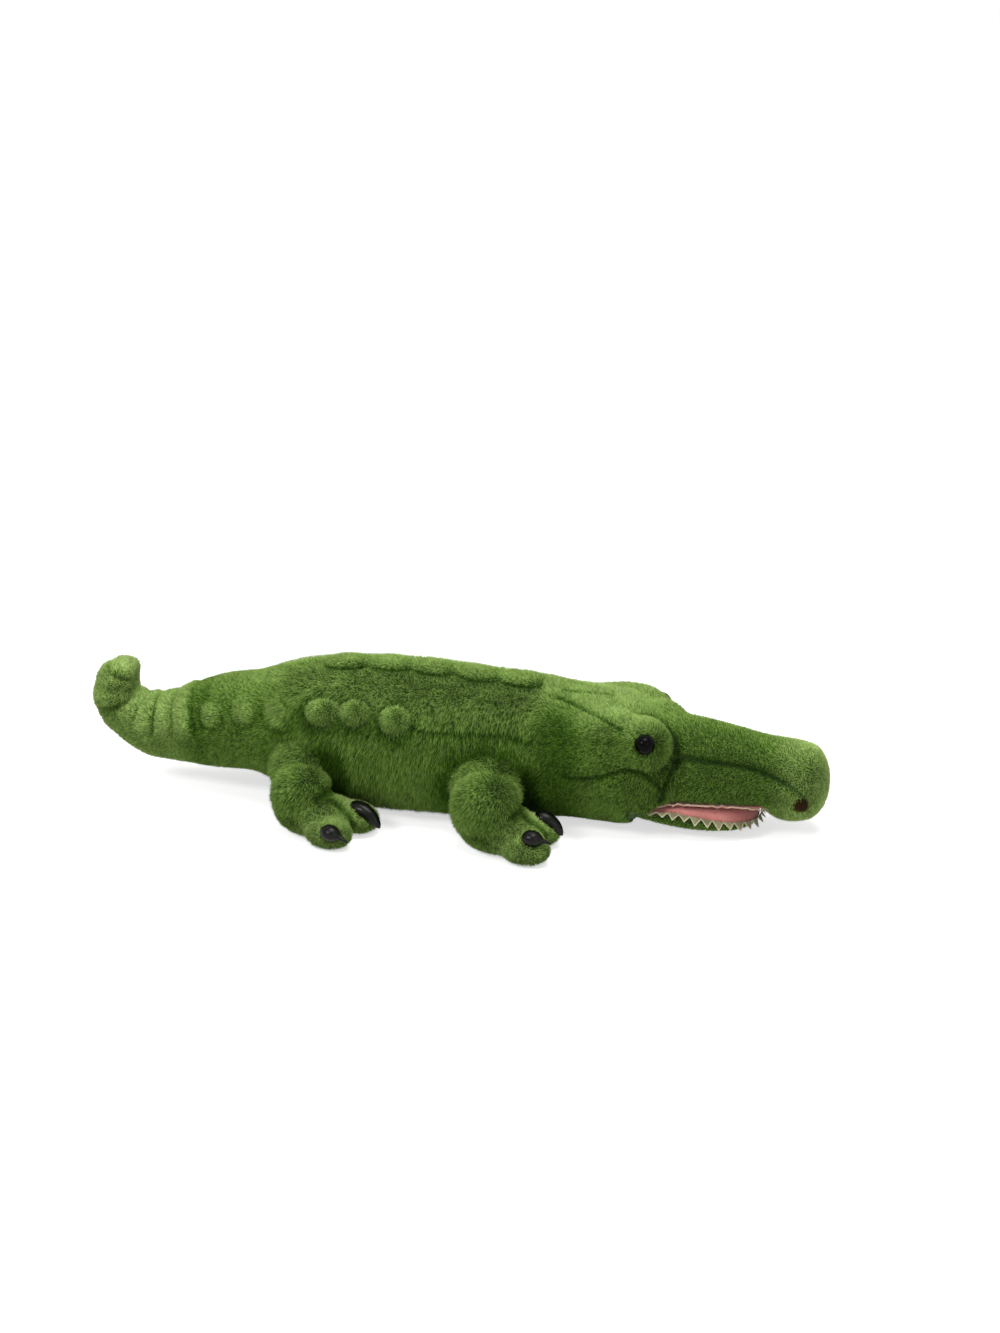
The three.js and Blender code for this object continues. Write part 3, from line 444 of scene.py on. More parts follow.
class Graph:
    """A node tree whose nodes are each added in one call."""

    def __init__(self, tree: bpy.types.NodeTree) -> None:
        """Holds the tree."""
        self.tree = tree

    def feed(self, node: bpy.types.Node, inputs: Inputs) -> None:
        """Links a node's inputs to sockets, or sets them to values."""
        for key, value in inputs.items():
            if isinstance(value, Socket):
                self.tree.links.new(value, node.inputs[key])
            else:
                node.inputs[key].default_value = value

    def node(self, kind: str, inputs: Inputs | None = None, **settings: object) -> bpy.types.Node:
        """A new node with its settings and its inputs."""
        made = self.tree.nodes.new(kind)
        for key, value in settings.items():
            setattr(made, key, value)
        self.feed(made, inputs or {})
        return made

    def math(self, operation: str, *values: object) -> Socket:
        """The result of a sum on numbers."""
        return self.node("ShaderNodeMath", dict(enumerate(values)), operation=operation).outputs[0]

    def vector(self, operation: str, first: object, second: object = None) -> Socket:
        """The result of a sum on vectors, or on a vector and a scale."""
        inputs = {0: first}
        if second is not None:
            inputs["Scale" if operation == "SCALE" else 1] = second
        return self.node("ShaderNodeVectorMath", inputs, operation=operation).outputs["Vector"]

    def attribute(self, name: str) -> Socket:
        """The value of a mesh's named attribute, in a shader."""
        return self.node("ShaderNodeAttribute", attribute_name=name).outputs["Fac"]

    def place(self) -> Socket:
        """The object's own coordinates, in a shader."""
        return self.node("ShaderNodeTexCoord").outputs["Object"]

    def noise(self, scale: float, detail: float, place: Socket | None = None) -> Socket:
        """Noise on the object's own coordinates, or on others."""
        inputs = {"Vector": place or self.place(), "Scale": scale, "Detail": detail}
        return self.node("ShaderNodeTexNoise", inputs).outputs["Fac"]

    def span(
        self, value: Socket, low: float, high: float, source: tuple[float, float] = (0.0, 1.0)
    ) -> Socket:
        """A value taken from one range to the range from low to high."""
        inputs = {"Value": value, "From Min": source[0], "From Max": source[1], "To Min": low, "To Max": high}
        return self.node("ShaderNodeMapRange", inputs).outputs[0]

    def ramp(self, value: Socket, *stops: tuple[float, Colour]) -> Socket:
        """The colour at a value between stops."""
        made = self.node("ShaderNodeValToRGB", {0: value})
        elements = made.color_ramp.elements
        for element, (place, colour) in zip(elements, (stops[0], stops[-1])):
            element.position, element.color = place, linear(colour)
        for place, colour in stops[1:-1]:
            elements.new(place).color = linear(colour)
        return made.outputs[0]

    def mix(self, share: Socket, colour: Socket, other: Colour) -> Socket:
        """A colour mixed with another by a share."""
        inputs = {"Factor": share, "A": colour, "B": linear(other)}
        return self.node("ShaderNodeMix", inputs, data_type="RGBA").outputs["Result"]

    def relief(self, height: Socket, strength: float, distance: float) -> Socket:
        """The direction of a surface with relief from a height, of a depth in metres."""
        inputs = {"Strength": strength, "Distance": distance, "Height": height}
        return self.node("ShaderNodeBump", inputs).outputs[0]

    def seen(self) -> Socket:
        """One where the camera or a gloss looks straight at a thing."""
        path = self.node("ShaderNodeLightPath").outputs
        return self.math("MAXIMUM", path["Is Camera Ray"], path["Is Glossy Ray"])


@dataclass(frozen=True)
class Finish:
    """What the kinds of finish share: a new material with one principled shader."""

    name: str

    def inputs(self, graph: Graph) -> Inputs:
        """What the shader's inputs are linked or set to."""
        raise NotImplementedError

    def build(self) -> Material:
        """The material."""
        material = bpy.data.materials.new(self.name)
        material.use_nodes = True
        graph = Graph(material.node_tree)
        shader = next(n for n in graph.tree.nodes if n.type == "BSDF_PRINCIPLED")
        graph.feed(shader, self.inputs(graph))
        return material


@dataclass(frozen=True)
class PileFinish(Finish):
    """Plush pile that is dark at its roots and frosted at its tips."""

    root: Colour = (12, 30, 0)
    middle: Colour = (50, 86, 8)
    tip: Colour = (106, 144, 44)
    pale: Colour = (170, 192, 120)
    sheen: Colour = (180, 205, 120)
    patch_scale: float = 55.0
    speck_scale: float = 430.0
    speck_stretch: Point = (1.0, 1.0, 0.5)
    tone_lift: float = 0.42
    frost_power: float = 1.8

    def inputs(self, graph: Graph) -> Inputs:
        """A colour by how far along a tuft it is and by its tone, which holds random variation and the skins'
        painted light and shade.
        """
        along, tone = graph.attribute("tip"), graph.attribute("tone")
        lifted = graph.math("MULTIPLY_ADD", tone, self.tone_lift, along)
        body = graph.ramp(lifted, (0.12, self.root), (0.6, self.middle), (1.0, self.tip))
        frost = graph.math("MULTIPLY", tone, graph.math("POWER", along, self.frost_power))
        patch = graph.span(graph.noise(self.patch_scale, 3.0), 0.82, 1.14, (0.3, 0.7))
        stretched = graph.vector("MULTIPLY", graph.place(), self.speck_stretch)
        speck = graph.span(graph.noise(self.speck_scale, 1.5, stretched), 0.7, 1.34, (0.32, 0.68))
        shades = {"Value": graph.math("MULTIPLY", patch, speck), "Color": graph.mix(frost, body, self.pale)}
        return {
            "Base Color": graph.node("ShaderNodeHueSaturation", shades).outputs[0],
            "Roughness": 0.8,
            "Specular IOR Level": 0.1,
            "Sheen Weight": 0.12,
            "Sheen Roughness": 0.5,
            "Sheen Tint": linear(self.sheen),
        }


@dataclass(frozen=True)
class BackingFinish(Finish):
    """The knitted backing that the pile grows from, seen only in the depths between tufts."""

    dark: Colour = (26, 46, 8)
    light: Colour = (50, 76, 18)

    def inputs(self, graph: Graph) -> Inputs:
        """A fine mottle with relief."""
        mottle = graph.noise(420.0, 4.0)
        colour = graph.ramp(mottle, (0.35, self.dark), (0.7, self.light))
        return {"Base Color": colour, "Roughness": 0.95, "Normal": graph.relief(mottle, 0.5, 0.001)}


@dataclass(frozen=True)
class ClothFinish(Finish):
    """Felt or velour: a soft nap with a fine mottle and a sheen."""

    dark: Colour
    light: Colour
    grain: float = 900.0
    sheen: float = 0.3
    relief: float = 0.0005
    cut_edge: Colour | None = None

    def inputs(self, graph: Graph) -> Inputs:
        """A mottle of two sizes, and a paler cut edge where a mesh marks one."""
        fine, broad = graph.noise(self.grain, 4.0), graph.noise(self.grain / 12, 2.0)
        both = graph.math("MULTIPLY_ADD", fine, 0.6, graph.math("MULTIPLY", broad, 0.4))
        colour = graph.ramp(both, (0.36, self.dark), (0.64, self.light))
        if self.cut_edge:
            colour = graph.mix(graph.attribute("edge"), colour, self.cut_edge)
        return {
            "Base Color": colour,
            "Roughness": 0.9,
            "Specular IOR Level": 0.2,
            "Sheen Weight": self.sheen,
            "Normal": graph.relief(fine, 0.6, self.relief),
        }


@dataclass(frozen=True)
class PlasticFinish(Finish):
    """Moulded plastic with a faint waviness and fine wear in its gloss."""

    dark: Colour
    light: Colour
    roughness: float
    gloss: float = 0.35

    def inputs(self, graph: Graph) -> Inputs:
        """One mottle for the colour, the wear and the waviness."""
        mottle = graph.noise(160.0, 3.0)
        return {
            "Base Color": graph.ramp(mottle, (0.0, self.dark), (1.0, self.light)),
            "Roughness": graph.span(mottle, self.roughness * 0.7, self.roughness * 1.5),
            "Specular IOR Level": self.gloss,
            "Normal": graph.relief(mottle, 0.12, 0.0004),
        }


# Pile


class PileTree(Graph):
    """The Geometry Nodes tree that grows tapered tufts from a skin along its combing.

    Each spread is a random number's lowest and highest value, and its seed.
    """

    tone_spread = (-0.45, 0.4, 5)
    turn_spread = (0, 6.283, 7)
    length_spread = (0.65, 1.15, 9)
    width_spread = (0.7, 1.2, 11)
    stray_seed = 3
    upright = 0.25
    skin_share = 1.6
    floor = 0.0003
    given_kinds = {
        "Geometry": "Geometry",
        "Tufts a square metre": "Float",
        "Root width": "Float",
        "Lean": "Float",
        "Lock size": "Float",
        "Lock lean": "Float",
        "Seed": "Int",
        "Finish": "Material",
    }

    def __init__(self) -> None:
        """Makes the tree, with named inputs for its sizes, its seed and its finish."""
        super().__init__(bpy.data.node_groups.new("Pile", "GeometryNodeTree"))
        face = self.tree.interface
        for name, kind in self.given_kinds.items():
            face.new_socket(name, in_out="INPUT", socket_type=f"NodeSocket{kind}")
        face.new_socket("Geometry", in_out="OUTPUT", socket_type="NodeSocketGeometry")
        self.given = self.node("NodeGroupInput").outputs
        grown = self.node("GeometryNodeRealizeInstances", {"Geometry": self.tufts()}).outputs[0]
        above = self.above_floor(self.soft_normals(grown))
        dressed = {"Geometry": above, "Material": self.given["Finish"]}
        self.node("NodeGroupOutput", {0: self.node("GeometryNodeSetMaterial", dressed).outputs[0]})

    def named(self, name: str, kind: str = "FLOAT") -> Socket:
        """A named attribute of the geometry."""
        return self.node("GeometryNodeInputNamedAttribute", {"Name": name}, data_type=kind).outputs[0]

    def stored(self, geometry: Socket, name: str, value: Socket, kind: str = "FLOAT") -> Socket:
        """Geometry with a named attribute kept on its points."""
        inputs = {"Geometry": geometry, "Name": name, "Value": value}
        made = self.node("GeometryNodeStoreNamedAttribute", inputs, data_type=kind, domain="POINT")
        return made.outputs[0]

    def random(self, low: float, high: float, seed: int) -> Socket:
        """A random number for each point."""
        inputs = {2: low, 3: high, "Seed": seed}
        return self.node("FunctionNodeRandomValue", inputs, data_type="FLOAT").outputs[1]

    def skin_normal(self, scale: float) -> Socket:
        """The skin's outward direction at a tuft's root, times a scale."""
        return self.vector("SCALE", self.named("skin_normal", "FLOAT_VECTOR"), scale)

    def roots(self) -> Socket:
        """Root points on the skin, each with the skin's tone, painted light and shade included, plus a random
        share.
        """
        amount = self.math("MULTIPLY", self.given["Tufts a square metre"], self.named("cover"))
        spread = self.node(
            "GeometryNodeDistributePointsOnFaces",
            {"Mesh": self.given["Geometry"], "Density": amount, "Seed": self.given["Seed"]},
            distribute_method="RANDOM",
        ).outputs
        skin = self.stored(spread["Points"], "skin_normal", spread["Normal"], "FLOAT_VECTOR")
        return self.stored(skin, "tone", self.math("ADD", self.named("tone"), self.random(*self.tone_spread)))

    def tuft(self) -> Socket:
        """One tapered tuft of length one along Z, marked with how far along it each point is."""
        cone = {"Vertices": 3, "Radius Top": 0.0, "Radius Bottom": 1.0, "Depth": 1.0}
        made = self.node("GeometryNodeMeshCone", cone, fill_type="NGON").outputs[0]
        place = self.node("GeometryNodeInputPosition").outputs[0]
        return self.stored(made, "tip", self.node("ShaderNodeSeparateXYZ", {0: place}).outputs[2])

    def lean(self) -> Socket:
        """Which way each tuft points: as the pile is combed, in locks, with some astray."""
        place = self.node("GeometryNodeInputPosition").outputs[0]
        scale = self.math("DIVIDE", 1.0, self.given["Lock size"])
        lock = self.node("ShaderNodeTexNoise", {"Vector": place, "Scale": scale, "Detail": 1.0})
        sway = self.vector("SUBTRACT", lock.outputs["Color"], (0.5, 0.5, 0.5))
        sway = self.vector("SCALE", sway, self.math("MULTIPLY", self.given["Lock lean"], 2.0))
        ends = {0: (-1, -1, -1), 1: (1, 1, 1), "Seed": self.stray_seed}
        stray = self.node("FunctionNodeRandomValue", ends, data_type="FLOAT_VECTOR").outputs[0]
        stray = self.vector("SCALE", stray, self.given["Lean"])
        lean = self.vector("ADD", self.named("comb", "FLOAT_VECTOR"), self.vector("ADD", sway, stray))
        return self.vector("ADD", lean, self.skin_normal(self.upright))

    def tufts(self) -> Socket:
        """The tufts on their roots, each with its own turn, length and width."""
        roots, tuft = self.roots(), self.tuft()
        turned = self.node("FunctionNodeAlignRotationToVector", {"Vector": self.lean()}, axis="Z").outputs[0]
        about = {"Axis": (0, 0, 1), "Angle": self.random(*self.turn_spread)}
        spin = self.node("FunctionNodeAxisAngleToRotation", about).outputs[0]
        both = {"Rotation": turned, "Rotate By": spin}
        spun = self.node("FunctionNodeRotateRotation", both, rotation_space="LOCAL").outputs[0]
        length = self.math("MULTIPLY", self.named("pile"), self.random(*self.length_spread))
        width = self.math("MULTIPLY", self.given["Root width"], self.random(*self.width_spread))
        size = self.node("ShaderNodeCombineXYZ", {0: width, 1: width, 2: length}).outputs[0]
        put = {"Points": roots, "Instance": tuft, "Rotation": spun, "Scale": size}
        return self.node("GeometryNodeInstanceOnPoints", put).outputs[0]

    def soft_normals(self, geometry: Socket) -> Socket:
        """Tufts that shade softly, mostly as the skin under them does."""
        own = self.node("GeometryNodeInputNormal").outputs[0]
        both = self.vector("NORMALIZE", self.vector("ADD", self.skin_normal(self.skin_share), own))
        smooth = self.node("GeometryNodeSetShadeSmooth", {"Geometry": geometry}).outputs[0]
        inputs = {"Mesh": smooth, "Custom Normal": both}
        return self.node("GeometryNodeSetMeshNormal", inputs, mode="FREE", domain="POINT").outputs[0]

    def above_floor(self, geometry: Socket) -> Socket:
        """Tufts under the belly pressed flat on the floor."""
        place = self.node("GeometryNodeInputPosition").outputs[0]
        x, y, z = self.node("ShaderNodeSeparateXYZ", {0: place}).outputs
        pressed = {0: x, 1: y, 2: self.math("MAXIMUM", z, self.floor)}
        inputs = {"Geometry": geometry, "Position": self.node("ShaderNodeCombineXYZ", pressed).outputs[0]}
        return self.node("GeometryNodeSetPosition", inputs).outputs[0]


@dataclass(frozen=True)
class PileSize:
    """How the pile of one piece is grown: tufts a square millimetre, and sizes in millimetres."""

    amount: float = 1.3
    root: float = 0.42
    lean: float = 0.3
    lock: float = 8.0
    lock_lean: float = 0.45


class Loom:
    """Grows pile on skins with one shared tree."""

    def __init__(self) -> None:
        """Makes the tree and finds the names of its inputs."""
        self.tree = PileTree().tree
        items = [i for i in self.tree.interface.items_tree if i.in_out == "INPUT"]
        self.inputs = {i.name: i.identifier for i in items}
        self.seed = 0

    def grow(
        self,
        skin: Mesh,
        name: str,
        finish: Material,
        slot: Slot,
        size: PileSize = PileSize(),
        body: str = "",
    ) -> Object:
        """The pile of one skin as a piece of its own.

        Args:
            skin: A mesh with the fields cover, comb, pile and tone.
            name: The new piece's name.
            finish: The pile's finish.
            slot: The record's slot; not used.
            size: How it is grown.
            body: The body that it rides on, if it doesn't bend between two.

        Returns:
            The piece.
        """
        self.seed += 1
        made = placed(name + "_draft", skin)
        nodes = made.modifiers.new("Pile", "NODES")
        nodes.node_group = self.tree
        values = {
            "Tufts a square metre": size.amount * 1e6,
            "Root width": size.root * MM,
            "Lean": size.lean,
            "Lock size": size.lock * MM,
            "Lock lean": size.lock_lean,
            "Seed": self.seed,
            "Finish": finish,
        }
        for key, value in values.items():
            nodes[self.inputs[key]] = value
        mesh = evaluated(made)
        for key in ("skin_normal", "comb", "pile", "cover"):
            if key in mesh.attributes:
                mesh.attributes.remove(mesh.attributes[key])
        return piece(mesh, name, finish, body=body)


def settled(pile: Array, lift: Array) -> Array:
    """How far a skin is drawn in, so that the thick of its pile ends at the shape it was given."""
    return 0.6 * pile * np.sin(lift)


def combed(normals: Array, direction: Array, lift: Array) -> Array:
    """The direction of pile that lies along a skin and stands up from it.

    Args:
        normals: The skin's outward directions.
        direction: Which way the pile is brushed at each point.
        lift: How far it stands up, in radians.

    Returns:
        The pile's direction at each point.
    """
    along = direction - normals * np.sum(direction * normals, axis=1, keepdims=True)
    along = unit(along + 1e-6)
    return unit(along * np.cos(lift)[:, None] + normals * np.sin(lift)[:, None])


@dataclass(frozen=True)
class Crease:
    """A seam or fold pressed into a skin along a line."""

    line: Rows
    depth: float
    width: float
    both_sides: bool = True


def pressed(shape: Shape, creases: tuple[Crease, ...], reach: float = 12.0) -> tuple[Array, Array]:
    """How deep the creases press a skin at each point, and how near each point is to one.

    Args:
        shape: The skin.
        creases: The creases.
        reach: Beyond this distance nothing is pressed.

    Returns:
        The depth in millimetres, and a nearness from 0 to 1.
    """
    samples = []
    skin = shape.tree()
    for crease in creases:
        line = smooth_rows(crease.line, 12, places=3)
        ends = np.minimum(np.arange(len(line)), np.arange(len(line))[::-1]) / max(1, len(line) // 5)
        fade = np.clip(ends, 0.15, 1)
        for side in (1, -1) if crease.both_sides else (1,):
            laid = [skin.find_nearest(Vector(p * [1, side, 1]))[0] for p in line]
            samples += [(p, crease.depth * f, crease.width) for p, f in zip(laid, fade)]
    tree = nearest_tree([place for place, _, _ in samples])
    depth, near = np.zeros(len(shape.points)), np.zeros(len(shape.points))
    for i, point in enumerate(shape.points):
        _, index, distance = tree.find(point)
        if distance < reach:
            _, deep, width = samples[index]
            near[i] = math.exp(-((distance / width) ** 2))
            depth[i] = deep * near[i]
    return depth, near


# Trunk


@dataclass
class BackStrip:
    """A band of puffed scallops sewn along the back, over the neck."""

    start: float = -107.25
    end: float = 76.0
    scallops: int = 5
    half_width: float = 5.5
    scallop_depth: float = 8.0
    thickness: float = 5.0
    inset: float = 1.5
    sunk: float = 2.2
    underside: float = 4.0
    voxel: float = 1.6
    lift: float = 42.0
    rows: int = 180
    columns: int = 27

    def share(self, x: Array) -> Array:
        """How many scallops lie behind places along X."""
        return (x - self.start) / (self.end - self.start) * self.scallops

    def lobe(self, x: Array) -> Array:
        """How far the scallops bulge at places along X, from 0 to 1."""
        part = np.clip(self.share(x), 0, self.scallops)
        return np.sqrt(4 * (part % 1) * (1 - part % 1))

    def half_at(self, x: Array) -> Array:
        """Half the band's width at places along X."""
        return self.half_width + self.scallop_depth * self.lobe(x)

    def skin(self, trunk: BVHTree) -> Skin:
        """The band, laid on the trunk and closed underneath, with short pile combed towards the tail."""
        tops, lows = [], []
        for x in np.linspace(self.start, self.end, self.rows):
            swell = 0.3 + 0.7 * float(self.lobe(x))
            swell *= 0.2 + 0.8 * float(step(0, 6, min(x - self.start, self.end - x)))
            for v in np.linspace(-1, 1, self.columns):
                y = v * (float(self.half_at(x)) - self.inset)
                place = trunk.ray_cast(Vector((x, y, 200)), Vector((0, 0, -1)))[0]
                rise = self.thickness * math.sqrt(max(0.0, 1 - v**4)) * swell
                tops.append((x, y, place.z + rise - self.sunk))
                lows.append((x, y, place.z - self.underside))
        shape = relaxed(united([slab(tops, lows, self.columns)], self.voxel), 3)
        normals = shape.normals()
        x, y, _ = shape.points.T
        upward = normals[:, 2]
        direction = np.stack([-np.ones_like(x), 0.06 * y, -0.4 * np.ones_like(x)], axis=1)
        middle = np.sin(np.pi * np.clip(self.share(x), 0, self.scallops)) ** 2
        fields = {
            "pile": (1.8 + 2.8 * step(0.3, 0.8, upward)) * MM,
            "comb": combed(normals, direction, np.full(len(x), math.radians(self.lift))),
            # Paler on the upturned middles of the lobes, painted light; darker where the band faces down,
            # painted shade
            "tone": 0.5 + 0.25 * middle * step(0.2, 0.9, upward) - 0.8 * (1 - step(0.1, 0.6, upward)),
            "cover": 1.35 * (upward > -0.2),
        }
        return Skin(shape, fields)


@dataclass
class FlankPuffs:
    """Pompom-like puffs of pile on the right flank, as rows of x, z, half length, half height and depth."""

    places: Rows = (
        (-100.5, 95.5, 15.5, 11.0, 6.4),
        (-73.0, 98.0, 13.5, 10.5, 5.6),
        (-38.5, 95.5, 12.8, 11.6, 7.4),
    )
    sunk: float = 1.5
    voxel: float = 1.5
    pile: float = 4.6

    def gap(self, x: Array, y: Array, z: Array) -> Array:
        """How far points of the trunk are from the nearest puff's middle, in its own radii."""
        gaps = [
            np.sqrt(((x - px) / wide) ** 2 + ((z - pz) / high) ** 2) for px, pz, wide, high, _ in self.places
        ]
        return np.where((z > 70) & (np.abs(y) > 20), np.minimum(9.0, np.min(gaps, axis=0)), 9.0)

    def skin(self, trunk: BVHTree) -> Skin:
        """The puffs, sunk in the trunk's skin, with pile that stands out from the middle of each."""
        made, middles = [], []
        for x, z, wide, high, depth in self.places:
            place, normal, _, _ = trunk.ray_cast(Vector((x, -200, z)), Vector((0, 1, 0)))
            out = np.array(normal)
            middle = np.array(place) - out * self.sunk
            side = unit(np.cross(UP, out))
            axes = side * (wide - 2), np.cross(out, side) * (high - 2), out * depth * 0.8
            made.append(dome(middle, *axes, 13, 24))
            middles.append(middle + UP * 9.0 - out * 6)
        shape, centres = united(made, self.voxel), np.array(middles)
        normals = shape.normals()
        nearest = np.argmin(np.linalg.norm(shape.points[:, None] - centres[None], axis=2), axis=1)
        fields = {
            "pile": np.full(len(normals), self.pile) * MM,
            "comb": unit(normals * 0.75 + unit(shape.points - centres[nearest]) * 0.8),
            # Paler on the tops and darker on the undersides of the puffs: painted light and painted shade
            "tone": 0.6 + 0.2 * normals[:, 2],
            "cover": 1.7 * (normals[:, 1] < 0.35),
        }
        return Skin(shape, fields)


@dataclass
class Nostril:
    """A round patch of fuzzy dark cloth low on the side of the snout's tip."""

    place: Point = (294.0, 26.8, 35.0)
    radius: float = 7.2
    depth: float = 2.4
    sunk: float = 2.2
    pile: float = 1.9

    def skin(self, side: int, trunk: BVHTree) -> Skin:
        """The patch's flat dome on one side, -1 for the right and 1 for the left, laid on the trunk."""
        x, y, z = self.place
        place, normal, _, _ = trunk.find_nearest(Vector((x, side * y, z)))
        out = np.array(normal)
        across = unit(np.cross(UP, out))
        middle, half = np.array(place) - out * self.sunk, self.radius - 0.8
        shape = dome(middle, across * half, np.cross(out, across) * half, out * self.depth, 11, 24)
        normals = shape.normals()
        fields = {
            "pile": np.full(len(normals), self.pile) * MM,
            "comb": normals,
            "tone": np.full(len(normals), 0.25),
            "cover": 3.0 * (normals @ unit(np.array([0.4, side, 0.0])) > 0.1),
        }
        return Skin(shape, fields)


RIGHT_ONLY, LEFT_ONLY, BOTH = (-1,), (1,), (-1, 1)


@dataclass
class Trunk:
    """The torso, head, snout and tail as one sewn and stuffed skin, in two pieces that meet at the waist.

    The rows of the lofts are x, z, half width, half height and tilt in degrees. The pads are rounded
    masses by middle, half sizes and sides: the two eye mounds, the left brow, the forehead, the brows and
    the cheeks. The creases are the snout's line, the mouth's line on the cheek, the brow's fold, the fold
    between the brows, the flank's seam, the fold behind the snout and the fold over the right mound.
    """

    voxel: float = 2.4
    waist: float = -30.0
    tail_tip: tuple[float, float] = (-284.4, 106.5)
    tail_rows: Rows = (
        (-288.8, 98.0, 16.2, 15.8, 90.0), (-291.6, 85.0, 18.9, 18.3, 78.0), (-289.4, 70.4, 20.2, 19.8, 55.0),
        (-277.4, 59.2, 21.8, 21.4, 30.0), (-260.0, 52.8, 25.0, 26.5, 10.0), (-239.0, 52.8, 28.0, 29.0, -3.6),
        (-218.0, 56.5, 33.2, 34.9, -7.2), (-196.8, 61.0, 38.0, 39.5, -1.8), (-168.0, 63.8, 44.5, 41.5, 0.0),
    )
    torso_rows: Rows = (
        (-136.9, 64.0, 52.1, 51.5, 0.0), (-100.0, 62.0, 60.1, 60.0, 0.0), (-69.1, 62.0, 64.0, 62.0, 0.0),
        (-36.8, 62.0, 66.0, 62.0, 0.0), (-5.2, 61.4, 66.0, 61.4, 0.0), (30.0, 60.0, 64.0, 60.0, 0.0),
        (75.0, 60.0, 58.0, 57.8, 0.0), (100.4, 59.4, 57.1, 55.4, 0.0), (129.5, 57.4, 59.5, 54.5, 0.0),
        (152.4, 54.8, 58.6, 51.9, 0.0), (169.4, 53.9, 53.6, 45.9, 0.0), (181.0, 54.8, 46.0, 39.0, 0.0),
    )
    head_front: tuple[float, float] = (196.5, 57.0)
    snout_rows: Rows = (
        (153.5, 44.0, 37.0, 43.4, 0.0), (183.5, 44.0, 37.5, 51.6, 0.0), (202.2, 44.0, 37.6, 50.2, 0.0),
        (230.2, 44.0, 35.1, 45.2, 0.0), (262.0, 44.0, 32.0, 38.6, 0.0), (280.7, 44.0, 31.2, 37.0, 0.0),
    )
    lip_height: float = 33.2
    tip_rows: Rows = (
        (254.4, 51.8, 31.5, 29.2, 0.0), (262.0, 51.4, 31.5, 29.6, 0.0), (270.2, 48.0, 31.8, 32.6, 0.0),
        (281.4, 46.6, 31.5, 34.4, 0.0), (293.6, 46.4, 29.0, 33.0, 0.0),
    )
    tip_front: tuple[float, float] = (313.0, 47.0)
    mound: Point = (164.0, 36.0, 83.0)
    mound_radius: float = 23.0
    pads: tuple[tuple[Point, Point, tuple[int, ...]], ...] = (
        (mound, (mound_radius, mound_radius, mound_radius), RIGHT_ONLY),
        ((160.0, 35.0, 77.5), (21.0, 26.0, 20.8), LEFT_ONLY),
        ((149.0, 36.0, 82.0), (24.0, 25.0, 22.5), LEFT_ONLY),
        ((171.0, 12.0, 80.0), (24.0, 24.0, 22.0), LEFT_ONLY),
        ((136.0, 31.0, 84.0), (44.0, 22.0, 24.0), BOTH),
        ((158.0, 40.0, 39.0), (26.0, 15.0, 24.0), BOTH),
        ((158.0, 36.0, 50.0), (32.0, 19.0, 31.0), BOTH),
    )
    eyes: tuple[Point, Point] = ((168.6, 56.5, 90.6), (164.5, 57.0, 85.0))
    jaw_seat_radius: float = 13.0
    jaw_room_half: float = 46.5
    rib_rise: float = 4.2
    rib_places: Rows = (
        (-226.5, 70.0), (-244.5, 70.0), (-259.5, 74.0), (-274.0, 72.0), (-288.0, 80.0), (-289.0, 92.0),
        (-286.0, 106.0),
    )
    lumps: Rows = ((-138.5, 11.0, 89.5), (-169.5, 11.0, 85.0), (-199.0, 9.5, 77.6))
    lump_rise: float = 5.0
    ribs_end: float = -205.0
    seam_depth: float = 1.8
    dimple_depth: float = 2.0
    tail_root: tuple[float, float] = (-172.0, -118.0)
    neck: tuple[float, float] = (60.0, 100.0)
    neck_bends: tuple[float, float] = (42.0, 110.0)
    tail_bends: tuple[float, float] = (-140.0, -200.0)
    snout_start: tuple[float, float] = (186.0, 200.0)
    nose_start: tuple[float, float] = (262.0, 294.0)
    back_top: tuple[float, float] = (100.0, 118.0)
    short_pile: float = 4.2
    body_pile: float = 7.4
    back_pile: float = 4.0
    leg_seats: Rows = ((38.0, 54.0, 46.0, 30.0, 26.0), (-120.0, 49.0, 44.0, 27.0, 26.0))
    # Painted shade beside the legs, as rows of x, z, half length, half height and strength
    painted_leg_shade: Rows = (
        (38.0, 38.0, 40.0, 42.0, 0.6), (70.0, 34.0, 12.0, 30.0, 0.9), (-96.0, 46.0, 18.0, 26.0, 0.8),
    )
    creases: tuple[Crease, ...] = (
        Crease((
            (192, -32, 72.7), (205, -31, 71.2), (218, -30.5, 69.6), (233, -29, 68.4), (248, -28, 66.5),
            (258, -28, 64.3), (268, -29, 61.1), (276, -30, 57.8), (283, -30, 53.8), (290, -29, 49),
            (297, -28, 43),
        ), 4.6, 2.6),
        Crease((
            (104, -57, 59.2), (114, -58, 58.3), (125, -59, 59), (133, -59, 61), (142, -58.6, 64),
            (154, -56, 67.7), (161, -55, 67.5), (169, -53, 64), (175, -51, 59), (180, -49, 53),
            (184, -45, 43),
        ), 1.6, 1.6),
        Crease((
            (91, -20, 112.3), (106, -24, 109), (122, -33, 106.3), (139, -44, 102.8), (149, -47, 99),
        ), 3.6, 2.0),
        Crease(((95, -9.4, 114.5), (111, -7, 113.3), (122, -5, 112.5), (135, -3, 110.7)), 2.8, 1.8),
        Crease((
            (-26, -57, 93.5), (-11, -57, 92.4), (2, -56.5, 92), (25, -54.5, 92), (47, -52, 92),
            (61, -51, 90.5), (75, -52, 84.8),
        ), 1.5, 1.6),
        Crease((
            (188, -24, 85.4), (192.6, -31, 74), (189, -40, 59), (184, -46, 49), (182, -47, 40),
        ), 6.0, 3.2),
        Crease((
            (158, -24, 104), (166, -15, 101), (174, -14, 96), (182, -18, 89), (187, -25, 81),
        ), 2.6, 3.0, False),
    )

    def rings(self, rows: Rows | list, steps: int) -> list[Ring]:
        """Rings of a loft from rows, with steps between them."""
        made = []
        for x, z, wide, high, tilt in smooth_rows(rows, steps):
            rise = np.array([math.sin(math.radians(tilt)), 0.0, math.cos(math.radians(tilt))])
            made.append(Ring(np.array([x, 0.0, z]), LEFT * wide, rise * high))
        return made

